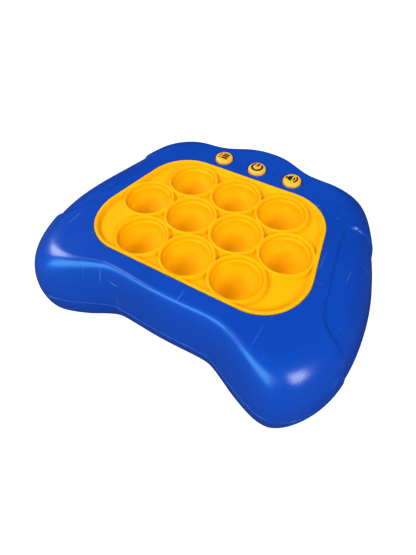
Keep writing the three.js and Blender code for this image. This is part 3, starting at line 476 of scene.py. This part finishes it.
def depth_inside(points, outline):
    """How far inside a closed outline each point is. Outside it is negative."""
    following = np.roll(outline, -1, axis=0)
    nearest = np.full(len(points), np.inf)
    inside = np.zeros(len(points), dtype=bool)
    for (ax, ay), (bx, by) in zip(outline, following):
        side = np.array([bx - ax, by - ay])
        offset = points - np.array([ax, ay])
        share = np.clip(offset @ side / (side @ side), 0, 1)
        nearest = np.minimum(nearest, np.linalg.norm(offset - share[:, None] * side, axis=1))
        crosses = (points[:, 1] < ay) != (points[:, 1] < by)
        if ay != by:
            inside ^= crosses & (points[:, 0] < ax + (points[:, 1] - ay) * (bx - ax) / (by - ay))
    return np.where(inside, nearest, -nearest)


def eased(values, low, high):
    """0 below low, 1 above high, and a smooth step between them."""
    share = ramp(values, low, high)
    return share * share * (3 - 2 * share)


def recessed(piece):
    """Pushes the two finger recesses in."""
    places = np.array([vertex.co for vertex in piece.data.vertices]) / MM
    sides = np.stack([np.abs(places[:, 0]), places[:, 1]], axis=1)
    weights = eased(depth_inside(sides, grip), -RECESS_EDGE, RECESS_EDGE) * eased(places[:, 2], *RECESS_FOOT)
    group = piece.vertex_groups.new(name="recess")
    for index in np.nonzero(weights > 0.001)[0]:
        group.add([int(index)], float(weights[index]), "REPLACE")
    modified(piece, "DISPLACE", vertex_group="recess", mid_level=0, strength=-RECESS_DEPTH * MM)
    piece.vertex_groups.clear()
    print(piece.name, "vertices in the recesses:", int((weights > 0.001).sum()))


recessed(upper)
recessed(lower)

# %% [markdown]
# The pad's opening has six corners: two at the back, the two widest in the middle, and two at the front, all
# with large radii. The same outline, moved in or out, cuts the housing and shapes the pad. Where two corners'
# arcs would meet, both are shortened a little.

# %% The pad's outline
PAD_Y = -3.4
PAD_ROUND = 330
pad_corners = [
    (44.5, 38.0, 23.0), (-44.5, 38.0, 23.0), (-55.3, -15.2, 26.0),
    (-47.4, -36.0, 21.5), (47.4, -36.0, 21.5), (55.3, -15.2, 26.0),
]


def pad_arcs():
    """Each corner's arc: its centre, its radius, and the angle of its middle and of half its sweep."""
    corners = [np.array([x, y + PAD_Y]) for x, y, _ in pad_corners]
    turns = []
    for i, corner in enumerate(corners):
        before = corners[i - 1] - corner
        after = corners[(i + 1) % 6] - corner
        before /= np.linalg.norm(before)
        after /= np.linalg.norm(after)
        half = math.acos(before @ after) / 2
        inwards = (before + after) / np.linalg.norm(before + after)
        turns.append((half, inwards, pad_corners[i][2] / math.tan(half)))
    arcs = []
    for i, (half, inwards, reach) in enumerate(turns):
        fits = [1.0]
        for j in (i - 1, (i + 1) % 6):
            fits.append(0.98 * np.linalg.norm(corners[i] - corners[j]) / (reach + turns[j][2]))
        radius = pad_corners[i][2] * min(fits)
        centre = corners[i] + inwards * radius / math.sin(half)
        arcs.append((centre, radius, math.atan2(-inwards[1], -inwards[0]), math.pi / 2 - half))
    return arcs


def pad_outline(out, spacing=0.8):
    """The pad's outline, moved out, as points that are about evenly spaced."""
    points = []
    for centre, radius, middle, half_sweep in pad_arcs():
        for angle in np.linspace(middle - half_sweep, middle + half_sweep, 41):
            points.append(centre + (radius + out) * np.array([math.cos(angle), math.sin(angle)]))
    return evenly(np.array(points), int(PAD_ROUND / spacing))


print("pad outline reaches", pad_outline(0).min(axis=0).round(2), pad_outline(0).max(axis=0).round(2))

# %% [markdown]
# The upper half is hollowed with a smaller copy of its form. Cutters for the pad and the buttons flare at
# their top, which leaves each opening a small rounded lip. A flare that ended level with the top would make
# the solver choose between two faces in one plane, so it runs on a little above it.

# %% The upper half's openings
def flared(lip, low, top):
    """Levels of a cutter that leaves a rounded lip at the top of its opening."""
    levels = [(low, 0.0)]
    for angle in np.radians([0, 18, 36, 54, 72, 84]):
        levels.append((top - lip + lip * math.sin(angle), lip * (1 - math.cos(angle))))
    return levels + [(top + 0.3, lip * 0.9 + 2.4)]


button_places = {"menu": -20.0, "power": 0.0, "sound": 20.0}
BUTTON_Y = 42.6
BUTTON_HOLE = 4.95
PAD_GAP = 0.05
HOLLOW_Z = 30
few = around[::4]
combined(upper, skin("hollow", upper_rings(few, WALL, foot=PARTING - 2, top=TOP - 2.4, count=20)))
combined(upper, prism("pad_opening", lambda out: pad_outline(out + PAD_GAP), flared(0.3, HOLLOW_Z, TOP)))
for button, x in button_places.items():
    combined(upper, prism(button + "_opening", disc(x, BUTTON_Y, BUTTON_HOLE), flared(0.4, HOLLOW_Z, TOP)))
smoothed(upper)
put_on(upper, blue, "housing", ["top_shell"])

# %% [markdown]
# The lower half is hollowed the same way, and then it gets what shows when the toy is turned over or the
# battery door is open: the locating lip, six screw wells, the battery bay with its pocket for the door, the
# boss for the door's screw and the wall round the speaker. Their sizes are the model's.

# %% The lower half's insides
FLOOR = 2.2
BAY = (-25.4, 25.4, -26.95, 6.95)
POCKET = (-31.0, 38.0, -29.35, 9.35)
DOOR_Y = -10.0
DOOR_SCREW_X = 33.4
TAB_SHIFT = 10.95
SPEAKER_Y = 29.45
combined(lower, skin("hollow", lower_rings(few, WALL, bottom=FLOOR, top=PARTING + 2, count=14)))
lip_levels = [(11.0, -1.1), (13.6, -1.1), (13.6, -2.5), (15.6, -3.0), (16.0, -3.3)]
lip = skin("lip", [[(x, y, z) for x, y in moved_in(few[:, :2], -out)] for z, out in lip_levels])
combined(lip, skin("lip_room", [[(x, y, z) for x, y in moved_in(few[:, :2], 4.3)] for z in (10, 17)]))
joined(lower, lip)
screw_places = []
for number in range(1, 7):
    low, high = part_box(f"case_screw_{number}")
    screw_places.append(((low.x + high.x) / 2 / MM, (low.y + high.y) / 2 / MM))
for x, y in screw_places:
    joined(lower, prism("well", disc(x, y, 4.6, 40), [(1.0, 0.0), (14.0, 0.0), (14.3, -0.3)]))
joined(lower, prism("bay", rectangle(*BAY, 0.8), [(1.0, 1.5), (15.4, 1.5), (15.9, 1.0)]))
joined(lower, prism("ledge", rectangle(*POCKET, 1.5), [(1.0, 2.2), (3.5, 2.2)]))
joined(lower, prism("door_boss", disc(DOOR_SCREW_X, DOOR_Y, 3.6, 40), [(2.0, 0.0), (9.5, 0.0), (9.9, -0.4)]))
wall = prism("speaker_wall", disc(0, SPEAKER_Y, 15.8, 96), [(1.0, 0.0), (3.7, 0.0), (4.0, -0.3)])
combined(wall, prism("speaker_room", disc(0, SPEAKER_Y, 14.3, 96), [(0.0, 0.0), (5.0, 0.0)]))
joined(lower, wall)
print("lower half with its insides:", len(lower.data.polygons), "faces")

# %% [markdown]
# The cuts come after the joins, so that each goes through all that was joined. A cutter that comes in from
# below flares downwards, for the small rounded lip that a moulded opening has.

# %% The lower half's cuts
GRILLE_RADIUS = 10.7
GRILLE_STEP = 4.4


def flared_down(lip, high):
    """Levels of a cutter that leaves a rounded lip at the bottom face, z 0: the other one's, upside down."""
    return [(-z, out) for z, out in reversed(flared(lip, -high, 0.0))]


for x, y in screw_places:
    combined(lower, prism("well_room", disc(x, y, 3.1, 40), flared_down(0.4, 8.0)))
    combined(lower, prism("shank_room", disc(x, y, 1.5, 24), [(5.0, 0.0), (17.0, 0.0)]))
combined(lower, prism("pocket", rectangle(*POCKET, 1.2), flared_down(0.4, 2.3)))
combined(lower, prism("bay_room", rectangle(*BAY, 0.6), [(1.0, 0.0), (14.4, 0.0)]))
for side in (-1, 1):
    y = DOOR_Y + side * TAB_SHIFT
    outline = rectangle(-34.2, -27.2, y - 3.3, y + 3.3, 0.3, 2)
    combined(lower, prism("tab_room", outline, [(2.25, 0), (5.7, 0)]))
combined(lower, prism("door_screw_room", disc(DOOR_SCREW_X, DOOR_Y, 1.8, 24), [(1.0, 0.0), (8.4, 0.0)]))
for slot in range(5):
    y = (slot - 2) * GRILLE_STEP
    reach = math.sqrt(GRILLE_RADIUS ** 2 - y ** 2)
    y += SPEAKER_Y
    outline = rectangle(-reach, reach, y - 0.9, y + 0.9, 0.88)
    combined(lower, prism("grille_slot", outline, flared_down(0.3, 3.2)))
smoothed(lower)
put_on(lower, blue, "housing", ["bottom_shell"])

# %% [markdown]
# The pad is one moulding of silicone: a rim bead, a web 2 mm lower, and ten round beads that run into each
# other with small soft hollows between. Such a surface is a height over a plan. Its points are laid where its
# form changes, in circles round each dish and in lines along the rim, and a triangulation joins them. A
# smooth maximum blends rim, rings and web, as the mould's rounded corners do.

# %% The pad's plan
CREST = 38.5
RING = 38.4
WEB = 36.4
UNDERSIDE = 34.0
BORE = 11.3
ROW_STEP = 22.4
bubbles = [(x, PAD_Y + ROW_STEP) for x in (-25.0, 0.0, 25.0)]
bubbles += [(x, PAD_Y) for x in (-37.5, -12.5, 12.5, 37.5)]
bubbles += [(x, PAD_Y - ROW_STEP) for x in (-25.0, 0.0, 25.0)]
centres = np.array(bubbles)
SIDES = 120
angles = np.arange(SIDES) * math.tau / SIDES
circle = np.stack([np.cos(angles), np.sin(angles)], axis=1)
ring_radii = [11.35, 11.4, 11.46, 11.53, 11.62, 11.74, 11.9, 12.08, 12.26, 12.44, 12.6, 12.75, 12.88, 13.0,
              13.1, 13.19, 13.28, 13.38, 13.5, 13.7, 14.0, 14.5]
rim_insets = [-1.0, -0.04, 0.02, 0.1, 0.2, 0.34, 0.55, 0.85, 1.15, 1.4, 1.6, 1.76, 1.9, 2.02, 2.13, 2.23,
              2.33, 2.45, 2.6, 2.85, 3.2, 3.7, 4.3, 5.0]


def to_nearest(points, places):
    """Each point's distance to the nearest of some places."""
    return np.linalg.norm(points[:, None] - places[None], axis=2).min(axis=1)


border = pad_outline(2.0, 1.2)
plan = [border] + [centre + BORE * circle for centre in centres]
loops = []
start = 0
for points in plan:
    loops += [(start + i, start + (i + 1) % len(points)) for i in range(len(points))]
    start += len(points)
fine_rim = pad_outline(0, 0.4)
for inset in rim_insets:
    plan.append(pad_outline(-inset, 0.9))
for index, centre in enumerate(centres):
    others = np.delete(centres, index, axis=0)
    for turn, radius in enumerate(ring_radii):
        shift = math.pi / SIDES * (turn % 2)
        spun = np.stack([np.cos(angles + shift), np.sin(angles + shift)], axis=1)
        points = centre + radius * spun
        clear = to_nearest(points, others) > radius + 0.1
        rim_clear = depth_inside(points, fine_rim[::2]) > 2.9
        plan.append(points[clear & rim_clear])
grid = np.stack(np.meshgrid(np.arange(-54, 54, 1.5), np.arange(-40, 35, 1.5)), axis=-1).reshape(-1, 2)
plan.append(grid[(to_nearest(grid, centres) > 15.4) & (depth_inside(grid, fine_rim[::2]) > 5.8)])
plan = np.vstack(plan)
print("points in the pad's plan:", len(plan))

# %% [markdown]
# The triangulation is asked for the whole convex plan, and triangles outside the border or in a dish's bore
# are left out. The flat sheet is then extruded once, and only the new, upper vertices are lifted to their
# heights, which leaves a closed pad with a flat underside.

# %% The pad
BEAD_HEIGHT = 2.4
BEAD_ROUNDNESS = 2.6
RING_MIDDLE = 12.15
PAD_LOWEST = 35.0


def smooth_maximum(first, second, width):
    """The larger of two heights, with the crossing rounded over a width."""
    share = np.clip(width - np.abs(first - second), 0, None) / width
    return np.maximum(first, second) + share * share * width / 4


def bead(crest, offset, width):
    """The height of a round bead at an offset from its middle. At its width it is below the web."""
    share = ramp(offset, 0, width)
    return crest - BEAD_HEIGHT * (1 - (1 - share ** BEAD_ROUNDNESS) ** (1 / BEAD_ROUNDNESS))


def pad_heights(points):
    """The height of the pad's upper face at each point of its plan."""
    inset = depth_inside(points, fine_rim)
    rim = bead(CREST, inset - 0.9, 1.25) - 0.5 * (np.clip(0.45 - inset, 0, None) / 0.45) ** 2.2
    fillet = 0.4 * ramp(inset, 5.0, 2.0) ** 2.5
    heights = smooth_maximum(rim, WEB + fillet, 0.4)
    for centre in centres:
        radius = np.linalg.norm(points - centre, axis=1)
        ring = np.minimum(bead(RING, radius - RING_MIDDLE, 1.05), bead(RING, RING_MIDDLE - radius, 0.83))
        heights = smooth_maximum(heights, ring, 0.5)
    return np.where(inset < 0, PAD_LOWEST, np.clip(heights, PAD_LOWEST, CREST))


found = delaunay_2d_cdt([Vector(point) for point in plan], loops, [], 0, 1e-4)
laid = np.array(found[0])
faces = np.array(found[2])
middles = laid[faces].mean(axis=1)
inside = depth_inside(middles, border) > 0
inside &= to_nearest(middles, centres) > BORE - 0.004
mesh = bpy.data.meshes.new("bubble_sheet")
flat_places = [(x * MM, y * MM, UNDERSIDE * MM) for x, y in laid]
mesh.from_pydata(flat_places, [], faces[inside].tolist())
pad = bpy.data.objects.new("bubble_sheet", mesh)
bpy.context.scene.collection.objects.link(pad)
alone(pad)
bpy.ops.object.mode_set(mode="EDIT")
bpy.ops.mesh.select_all(action="SELECT")
bpy.ops.mesh.delete_loose()
bpy.ops.mesh.select_all(action="SELECT")
bpy.ops.mesh.extrude_region_move()
edited = bmesh.from_edit_mesh(pad.data)
lifted = [vertex for vertex in edited.verts if vertex.select]
heights = pad_heights(np.array([(vertex.co.x, vertex.co.y) for vertex in lifted]) / MM)
for vertex, height in zip(lifted, heights):
    vertex.co.z = height * MM
faced_outwards()
smoothed(pad, 60)

# %% [markdown]
# Silicone is a soft satin rubber. A little light goes in and comes out again. Its colour varies slightly from
# place to place, and its skin has the finest grain of the mould.

# %% The silicone
silicone, silicone_shader = finish("yellow_silicone", tone(247, 176, 4), 0.6, Specular_IOR_Level=0.25,
                                   Specular_Tint=(1.0, 0.7, 0.1, 1.0), Subsurface_Weight=0.06,
                                   Subsurface_Radius=(1.0, 0.3, 0.06), Subsurface_Scale=0.003)
silicone_tones = ramped(silicone, noise(silicone, 60, 3), 0, 1, 0.35, 0.65)
satin = ramped(silicone, noise(silicone, 140, 4), 0.5, 0.64, 0.35, 0.65)
silicone_colour = mixed(silicone, silicone_tones, tone(246, 173, 4), tone(248, 179, 6))
set_sockets(silicone_shader, Roughness=satin, Base_Color=silicone_colour)
grained(silicone, silicone_shader, noise(silicone, 2600, 2), 0.00002)
put_on(pad, silicone, "housing", ["bubble_pad"])

# %% [markdown]
# One dish is turned on its profile: a small lip bead just inside the ring, the round hollow, the wall below
# it and the nub that reaches down to the board. Ten copies are laid in the rings. A dish is one soft piece
# with its ring, so its edge is tucked into the ring's wall.

# %% The ten dishes
LIP = 36.7
BOWL_ROUNDNESS = 0.87


def hollow(radius, depth, mouth, low_angle, high_angle, steps):
    """A deep bowl's profile, from low to high angle, for a bowl with a mouth at a height."""
    points = []
    for angle in np.radians(np.linspace(low_angle, high_angle, steps)):
        points.append((radius * math.sin(angle) ** BOWL_ROUNDNESS,
                       mouth - depth * math.cos(angle) ** BOWL_ROUNDNESS))
    return points


def copied(piece, name, place, turn=0.0):
    """A copy with its own mesh, turned about y and moved to a place in millimetres."""
    alone(piece)
    bpy.ops.object.duplicate()
    copy = bpy.context.object
    copy.name = name
    copy.rotation_euler = (0, turn, 0)
    copy.location = [value * MM for value in place]
    bpy.ops.object.transform_apply(location=True, rotation=True, scale=False)
    return copy


profile = hollow(10.05, 7.6, LIP - 0.9, low_angle=0.8, high_angle=88, steps=28)
for radius, drop in ((10.13, 0.64), (10.28, 0.36), (10.48, 0.15), (10.72, 0.03), (10.93, 0.0), (11.1, 0.08),
                     (11.24, 0.14), (11.45, 0.18), (11.45, 0.8), (11.2, 1.1)):
    profile.append((radius, LIP - drop))
profile += hollow(11.1, 8.3, LIP - 1.2, low_angle=82, high_angle=11.5, steps=14)
profile += [(2.55, 26.9), (2.5, 26.4), (2.2, 26.1), (0.3, 26.1)]
dish = turned("dish", 0, 0, profile, 96)
smoothed(dish, 60)
for number, (x, y) in enumerate(bubbles, start=1):
    copy = copied(dish, f"dish_{number}", (x, y, 0))
    put_on(copy, silicone, None, [f"bubble_cup_{number}"])
    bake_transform(copy)
bpy.data.objects.remove(dish)

# %% [markdown]
# The three buttons are short amber pills with a crowned top and a strongly rounded edge, on a flange that
# keeps them under the housing. Their plastic is a shade lighter than the silicone, and a little translucent.

# %% The buttons
amber, amber_shader = finish("amber_plastic", tone(252, 182, 40), 0.36, Subsurface_Weight=0.15,
                             Subsurface_Radius=(1.0, 0.5, 0.12), Subsurface_Scale=0.0015)
amber_tones = ramped(amber, noise(amber, 200, 3), 0, 1, 0.35, 0.65)
amber_colour = mixed(amber, amber_tones, tone(251, 178, 36), tone(253, 186, 44))
set_sockets(amber_shader, Base_Color=amber_colour)
grained(amber, amber_shader, noise(amber, 1800, 2), 0.00001)
BUTTON_TOP = 40.0
CROWN_DROP = 0.3
CROWN_RADIUS = 3.3


def crown(radius):
    """The height of a button's top face."""
    return BUTTON_TOP - CROWN_DROP * (radius / CROWN_RADIUS) ** 2


cap_profile = [(0.2, 28.35), (1.8, 28.35), (1.8, 34.3), (5.6, 34.3), (5.6, 35.3), (4.7, 35.3), (4.7, 38.2)]
for angle in np.radians([10, 20, 30, 40, 50, 60, 70, 78]):
    cap_profile.append((CROWN_RADIUS + 1.4 * math.cos(angle), 38.35 + 1.33 * math.sin(angle)))
cap_profile += [(radius, crown(radius)) for radius in (CROWN_RADIUS, 2.9, 2.4, 1.8, 1.0, 0.2)]
cap_low = max(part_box(f"button_cap_{button}")[0].z for button in button_places) / MM
cap = turned("cap", 0, 0, [(radius, max(z, cap_low)) for radius, z in cap_profile], 72)
smoothed(cap, 50)
for button, x in button_places.items():
    copy = copied(cap, f"cap_{button}", (x, BUTTON_Y, 0))
    put_on(copy, amber, f"{button}_button", [f"button_cap_{button}"])
bpy.data.objects.remove(cap)

# %% [markdown]
# Each top has a small black sign, printed flat: a list of three lines for the menu, the usual ring and bar
# for power, and a loudspeaker with two waves for sound. Each stroke is a grid primitive that is bent along a
# path and laid a tenth of a millimetre under the crown, then extruded until it stands just proud of it.

# %% The printed signs
ink, ink_shader = finish("black_print", tone(14, 14, 15), 0.5)
set_sockets(ink_shader, Roughness=ramped(ink, noise(ink, 900, 2), 0.42, 0.6, 0.3, 0.7))
SIGN_UNDER = 0.1
SIGN_THICK = 0.13


def stroke(name, centre_x, path, widths):
    """A flat stroke along a path of points round the button's middle, with a width at each."""
    path = np.array(path)
    bpy.ops.object.select_all(action="DESELECT")
    bpy.ops.mesh.primitive_grid_add(x_subdivisions=len(path) - 1, y_subdivisions=2, size=2)
    piece = bpy.context.object
    piece.name = name
    along = np.gradient(path, axis=0)
    along /= np.linalg.norm(along, axis=1)[:, None]
    aside = np.stack([-along[:, 1], along[:, 0]], axis=1)
    for vertex in piece.data.vertices:
        step = round((vertex.co.x + 1) / 2 * (len(path) - 1))
        x, y = path[step] + aside[step] * vertex.co.y * widths[step] / 2
        vertex.co = Vector((centre_x + x, BUTTON_Y + y, crown(math.hypot(x, y)) - SIGN_UNDER)) * MM
    alone(piece)
    bpy.ops.object.mode_set(mode="EDIT")
    bpy.ops.mesh.select_all(action="SELECT")
    bpy.ops.mesh.extrude_region_move(TRANSFORM_OT_translate={"value": (0, 0, SIGN_THICK * MM)})
    faced_outwards()
    return piece


def arc(x, y, radius, start, end, steps=24):
    """Points along an arc, with its angles in degrees."""
    turn = np.radians(np.linspace(start, end, steps))
    return [(x + radius * math.cos(a), y + radius * math.sin(a)) for a in turn]


def line(x1, y1, x2, y2, steps=8):
    """Points along a straight line."""
    return [(x1 + (x2 - x1) * i / steps, y1 + (y2 - y1) * i / steps) for i in range(steps + 1)]


signs = {
    "menu": [],
    "power": [(arc(0, 0, 2.7, 122, 418, 48), [1.1] * 48), (line(0, 0.1, 0, 3.3), [1.1] * 9)],
    "sound": [(line(-3.1, -0.95, -3.1, 0.95), [0.8] * 9), (line(-2.5, 0, 0.0, 0), np.linspace(1.9, 4.8, 9)),
              (arc(-0.4, 0, 1.55, -48, 48, 16), [0.75] * 16), (arc(-0.4, 0, 2.95, -52, 52, 20), [0.85] * 20)],
}
for row in (-1.55, 0.0, 1.55):
    signs["menu"] += [(line(-1.0, row, 2.6, row), [1.15] * 9), (line(-2.7, row, -1.75, row, 2), [1.0] * 3)]
for button, strokes in signs.items():
    pieces = [stroke("sign", button_places[button], path, widths) for path, widths in strokes]
    bpy.ops.object.select_all(action="DESELECT")
    for piece in pieces:
        piece.select_set(True)
    bpy.context.view_layer.objects.active = pieces[0]
    bpy.ops.object.join()
    pieces[0].name = f"sign_{button}"
    put_on(pieces[0], ink, f"{button}_button")
    print("sign", button, "strokes:", len(strokes))

# %% [markdown]
# The battery door is a flat panel in its pocket, with two tabs that hook behind the pocket's edge, ribs that
# press on the cells, and a screw in a sunk hole. Three small grooves give a finger something to push.

# %% The battery door
door_levels = [(0.2, -0.35), (0.3, -0.1), (0.55, 0), (2.0, 0)]
door = prism("door", rectangle(-30.7, 37.7, -29.05, 9.05, 1.0), door_levels)
for side in (-1, 1):
    x = side * 11.125
    outline = rectangle(x - 0.6, x + 0.6, -26.65, 6.65, 0.3, 2)
    joined(door, prism("rib", outline, [(1.6, 0), (3.2, 0), (3.3, -0.1)]))
    y = DOOR_Y + side * TAB_SHIFT
    joined(door, prism("tab_root", rectangle(-30.7, -29.7, y - 3, y + 3, 0.2, 2), [(1.6, 0), (3.5, 0)]))
    outline = rectangle(-32.9, -29.7, y - 3, y + 3, 0.4, 3)
    joined(door, prism("tab", outline, [(2.5, 0), (3.4, 0), (3.5, -0.1)]))
combined(door, prism("screw_sink", disc(DOOR_SCREW_X, DOOR_Y, 2.8, 40), [(-1, 0.3), (0.35, 0.0), (1.4, 0)]))
combined(door, prism("screw_room", disc(DOOR_SCREW_X, DOOR_Y, 1.5, 24), [(0.5, 0), (2.6, 0)]))
for groove in range(3):
    x = 24.5 + groove * 2.2
    outline = rectangle(x - 0.5, x + 0.5, -15, -5, 0.49)
    combined(door, prism("nail_groove", outline, [(-1, 0.6), (0.2, 0.25), (0.6, 0)]))
smoothed(door)
put_on(door, blue, "door", ["battery_door"])

# %% [markdown]
# The screws are alike: a flat head with a cross recess. One is turned, its cross is cut by two bars, and it
# is copied to each of the six places that the model gives. The door's screw is a shorter one.

# %% The screws
steel, steel_shader = finish("screw_steel", tone(172, 174, 178), 0.28, Metallic=1.0)
brushed = ramped(steel, noise(steel, 700, 4, (1, 1, 6)), 0.2, 0.42, 0.3, 0.7)
set_sockets(steel_shader, Roughness=brushed)
grained(steel, steel_shader, noise(steel, 2500, 2), 0.00001)


def screw(name, x, y, seat, head, length):
    """A screw with its bearing face at a height, its head below it and its shank up."""
    face = seat - head
    tip = seat + length
    body = turned(name, x, y, [(0.1, face), (2.1, face), (2.4, face + 0.12), (2.5, face + 0.35), (2.5, seat),
                               (1.2, seat), (1.2, tip - 1.2), (0.1, tip)], 40)
    for long_x, long_y in ((0.3, 1.45), (1.45, 0.3)):
        outline = rectangle(x - long_x, x + long_x, y - long_y, y + long_y, 0.1, 2)
        combined(body, prism("cross", outline, [(face - 0.5, 0.12), (face + head * 0.55, -0.15)]))
    return smoothed(body)


case_screw = screw("housing_screw", 0, 0, seat=7.7, head=1.6, length=13)
for number, (x, y) in enumerate(screw_places, start=1):
    copy = copied(case_screw, f"housing_screw_{number}", (x, y, 0))
    put_on(copy, steel, "housing", [f"case_screw_{number}"])
bpy.data.objects.remove(case_screw)
door_screw = screw("door_screw", DOOR_SCREW_X, DOOR_Y, seat=1.1, head=0.9, length=7)
put_on(door_screw, steel, "door", ["battery_door_screw"])

# %% [markdown]
# The rest stays inside the housing: the white baffle, the board with its lamps, switches and chip, the cells'
# contacts, the speaker and the leads. Their solids in the model already have the right shape, so each keeps
# its mesh and gets its own finish, with the grain or haze that such a surface has.

# %% The finishes inside
def inner(name, colour, roughness, scale, spread, metallic=0.0, depth=0.00001):
    """A finish with a little change of tone and haze at one scale."""
    material, shader = finish(name, tone(*colour), roughness, Metallic=metallic)
    value = noise(material, scale, 4)
    darker = tone(*[max(part - spread, 0) for part in colour])
    colours = mixed(material, ramped(material, value, 0, 1, 0.3, 0.7), darker, tone(*colour))
    haze = ramped(material, value, roughness * 0.8, min(roughness * 1.3, 1), 0.3, 0.7)
    set_sockets(shader, Base_Color=colours, Roughness=haze)
    grained(material, shader, noise(material, scale * 6, 2), depth)
    return material


inside_finishes = {
    "light_baffle": inner("baffle_white", (236, 236, 230), 0.5, 80, 10),
    "main_board": inner("board_green", (24, 92, 52), 0.38, 120, 16),
    "led_": inner("lamp_lens", (240, 240, 232), 0.15, 300, 8),
    "controller_chip": inner("resin_black", (18, 18, 20), 0.3, 200, 6),
    "button_switch_": inner("switch_black", (30, 30, 32), 0.45, 260, 8),
    "switch_plunger_": inner("switch_black_plunger", (38, 38, 40), 0.4, 260, 8),
    "battery_lead_red": inner("lead_red", (178, 24, 20), 0.42, 200, 14),
    "battery_lead_black": inner("lead_black", (24, 24, 25), 0.42, 200, 6),
    "speaker_lead_left": inner("lead_dark_red", (150, 26, 22), 0.42, 200, 12),
    "speaker_lead_right": inner("lead_dark", (26, 26, 28), 0.42, 200, 6),
    "contact_": inner("contact_steel", (196, 190, 176), 0.3, 400, 16, 1.0),
    "speaker_frame": inner("speaker_steel", (142, 144, 148), 0.36, 260, 12, 1.0),
    "speaker_cone": inner("cone_paper", (44, 44, 46), 0.85, 900, 12, 0.0, 0.00004),
    "board_screw_": steel,
}
dressed = 0
replaced = ("top_shell", "bottom_shell", "bubble_pad", "battery_door", "battery_1", "battery_2", "battery_3",
            "bubble_cup_", "button_cap_", "case_screw_")
for name, node in nodes.items():
    if name.startswith(replaced):
        continue
    for start, material in inside_finishes.items():
        if name.startswith(start):
            for place in node.material_slots:
                place.material = material
            dressed += 1
            break
    else:
        print("no finish for", name)
print("solids with their own finish:", dressed)

# %% [markdown]
# The three cells show when the door is open. Each is turned on its own profile, a sleeve with rolled-in ends
# and a nub, and laid on its side. The middle one lies the other way round, as cells in series do.

# %% The cells
CELL_Z = 8.85
CELL_PITCH = 11.2
CELL_SHIFT = 2.275
cell_profile = [(0.1, -22.2), (4.1, -22.2), (4.3, -22.25), (4.9, -22.25), (5.15, -22.15), (5.25, -21.9),
                (5.25, 20.9), (5.15, 21.2), (4.9, 21.35), (2.3, 21.35), (1.9, 21.45), (1.9, 22.05),
                (1.7, 22.25), (0.1, 22.25)]
jacket = inner("cell_jacket", (58, 62, 70), 0.34, 150, 8)
cell = turned("cell", 0, 0, cell_profile, 48)
for number, way in enumerate((1, -1, 1), start=1):
    place = (way * CELL_SHIFT, DOOR_Y + (number - 2) * CELL_PITCH, CELL_Z)
    copy = copied(cell, f"cell_{number}", place, way * math.pi / 2)
    put_on(smoothed(copy), jacket, "housing", [f"battery_{number}"])
bpy.data.objects.remove(cell)
print("cells at y", [round(DOOR_Y + step * CELL_PITCH, 1) for step in (-1, 0, 1)])

# %% [markdown]
# The studio is a white table in a dim room. The table and the world look white to the camera alone. The gloss
# of the housing shows lamps and almost nothing else, so glossy rays see both as nearly black. Other rays meet
# a mid grey table and a dim room, which light the walls from the sides and from below.

# %% The table and the world
TABLE_GREY = 0.45
TABLE_GLOW = 0.85
ROOM = 0.38
IN_GLOSS = 0.02
bpy.ops.object.select_all(action="DESELECT")
bpy.ops.mesh.primitive_plane_add(size=6)
table = bpy.context.object
table.name = "table"
grey = [TABLE_GREY] * 3 + [1.0]
white, white_shader = finish("white_table", grey, 0.9)
glow = added(white, "ShaderNodeEmission", Color=(1, 1, 1, 1), Strength=TABLE_GLOW)
rays = added(white, "ShaderNodeLightPath")
in_gloss = mixed(white, rays.outputs["Is Glossy Ray"], grey, [IN_GLOSS] * 3 + [1.0])
reflected = set_sockets(white_shader, Base_Color=in_gloss).outputs[0]
lit = in_order(added(white, "ShaderNodeAddShader"), reflected, glow.outputs[0])
seen = in_order(added(white, "ShaderNodeMixShader"), rays.outputs["Is Camera Ray"], reflected, lit)
set_sockets(white.node_tree.nodes["Material Output"], Surface=seen)
table.data.materials.append(white)

world = bpy.data.worlds.new("studio")
bpy.context.scene.world = world
world.use_nodes = True
paths = added(world, "ShaderNodeLightPath")
strength = ROOM
for ray, change in (("Is Camera Ray", 1.0 - ROOM), ("Is Glossy Ray", IN_GLOSS - ROOM)):
    strength = calculated(world, "MULTIPLY_ADD", paths.outputs[ray], change, strength)
set_sockets(world.node_tree.nodes["Background"], Color=(1, 1, 1, 1), Strength=strength)
print("room's strength for plain, camera and glossy rays:", ROOM, 1.0, IN_GLOSS)

# %% [markdown]
# A soft lamp low in front gives the dishes their dark near side, and isn't itself reflected. The others stand
# where the photograph's gloss shows them: each highlight's ray from the camera, turned back at the housing,
# points at its lamp. Two light the toy and make the pale spots on the grips. A cool strip, which is only
# reflected, makes the line along the front edge.

# %% The lamps
def lamp(name, direction, distance, width, height, power, colour=(1, 1, 1)):
    """A rectangular lamp, in metres, that faces the toy from a direction."""
    light = bpy.data.lights.new(name, "AREA")
    light.shape = "RECTANGLE"
    light.size = width
    light.size_y = height
    light.energy = power
    light.color = colour
    stand = bpy.data.objects.new(name, light)
    bpy.context.scene.collection.objects.link(stand)
    away = Vector(direction).normalized()
    stand.location = away * distance
    stand.rotation_euler = (-away).to_track_quat("-Z", "Y").to_euler()
    print(name, "at", [round(value, 2) for value in stand.location])
    return stand


soft = lamp("soft_lamp", (0.16, -0.85, 0.5), distance=1.5, width=0.65, height=0.65, power=7.8)
soft.visible_glossy = False
lamp("left_lamp", (-0.72, -0.17, 0.68), distance=1.2, width=0.62, height=0.4, power=9.2)
lamp("right_lamp", (0.77, -0.3, 0.57), distance=1.2, width=0.44, height=0.44, power=7.8)
strip = lamp("front_strip", (-0.26, -0.88, 0.37), distance=1.4, width=1.1, height=0.75, power=19,
             colour=(0.25, 0.85, 1.0))
strip.visible_diffuse = False

# %% The view transform
bpy.context.scene.view_settings.view_transform = "Standard"
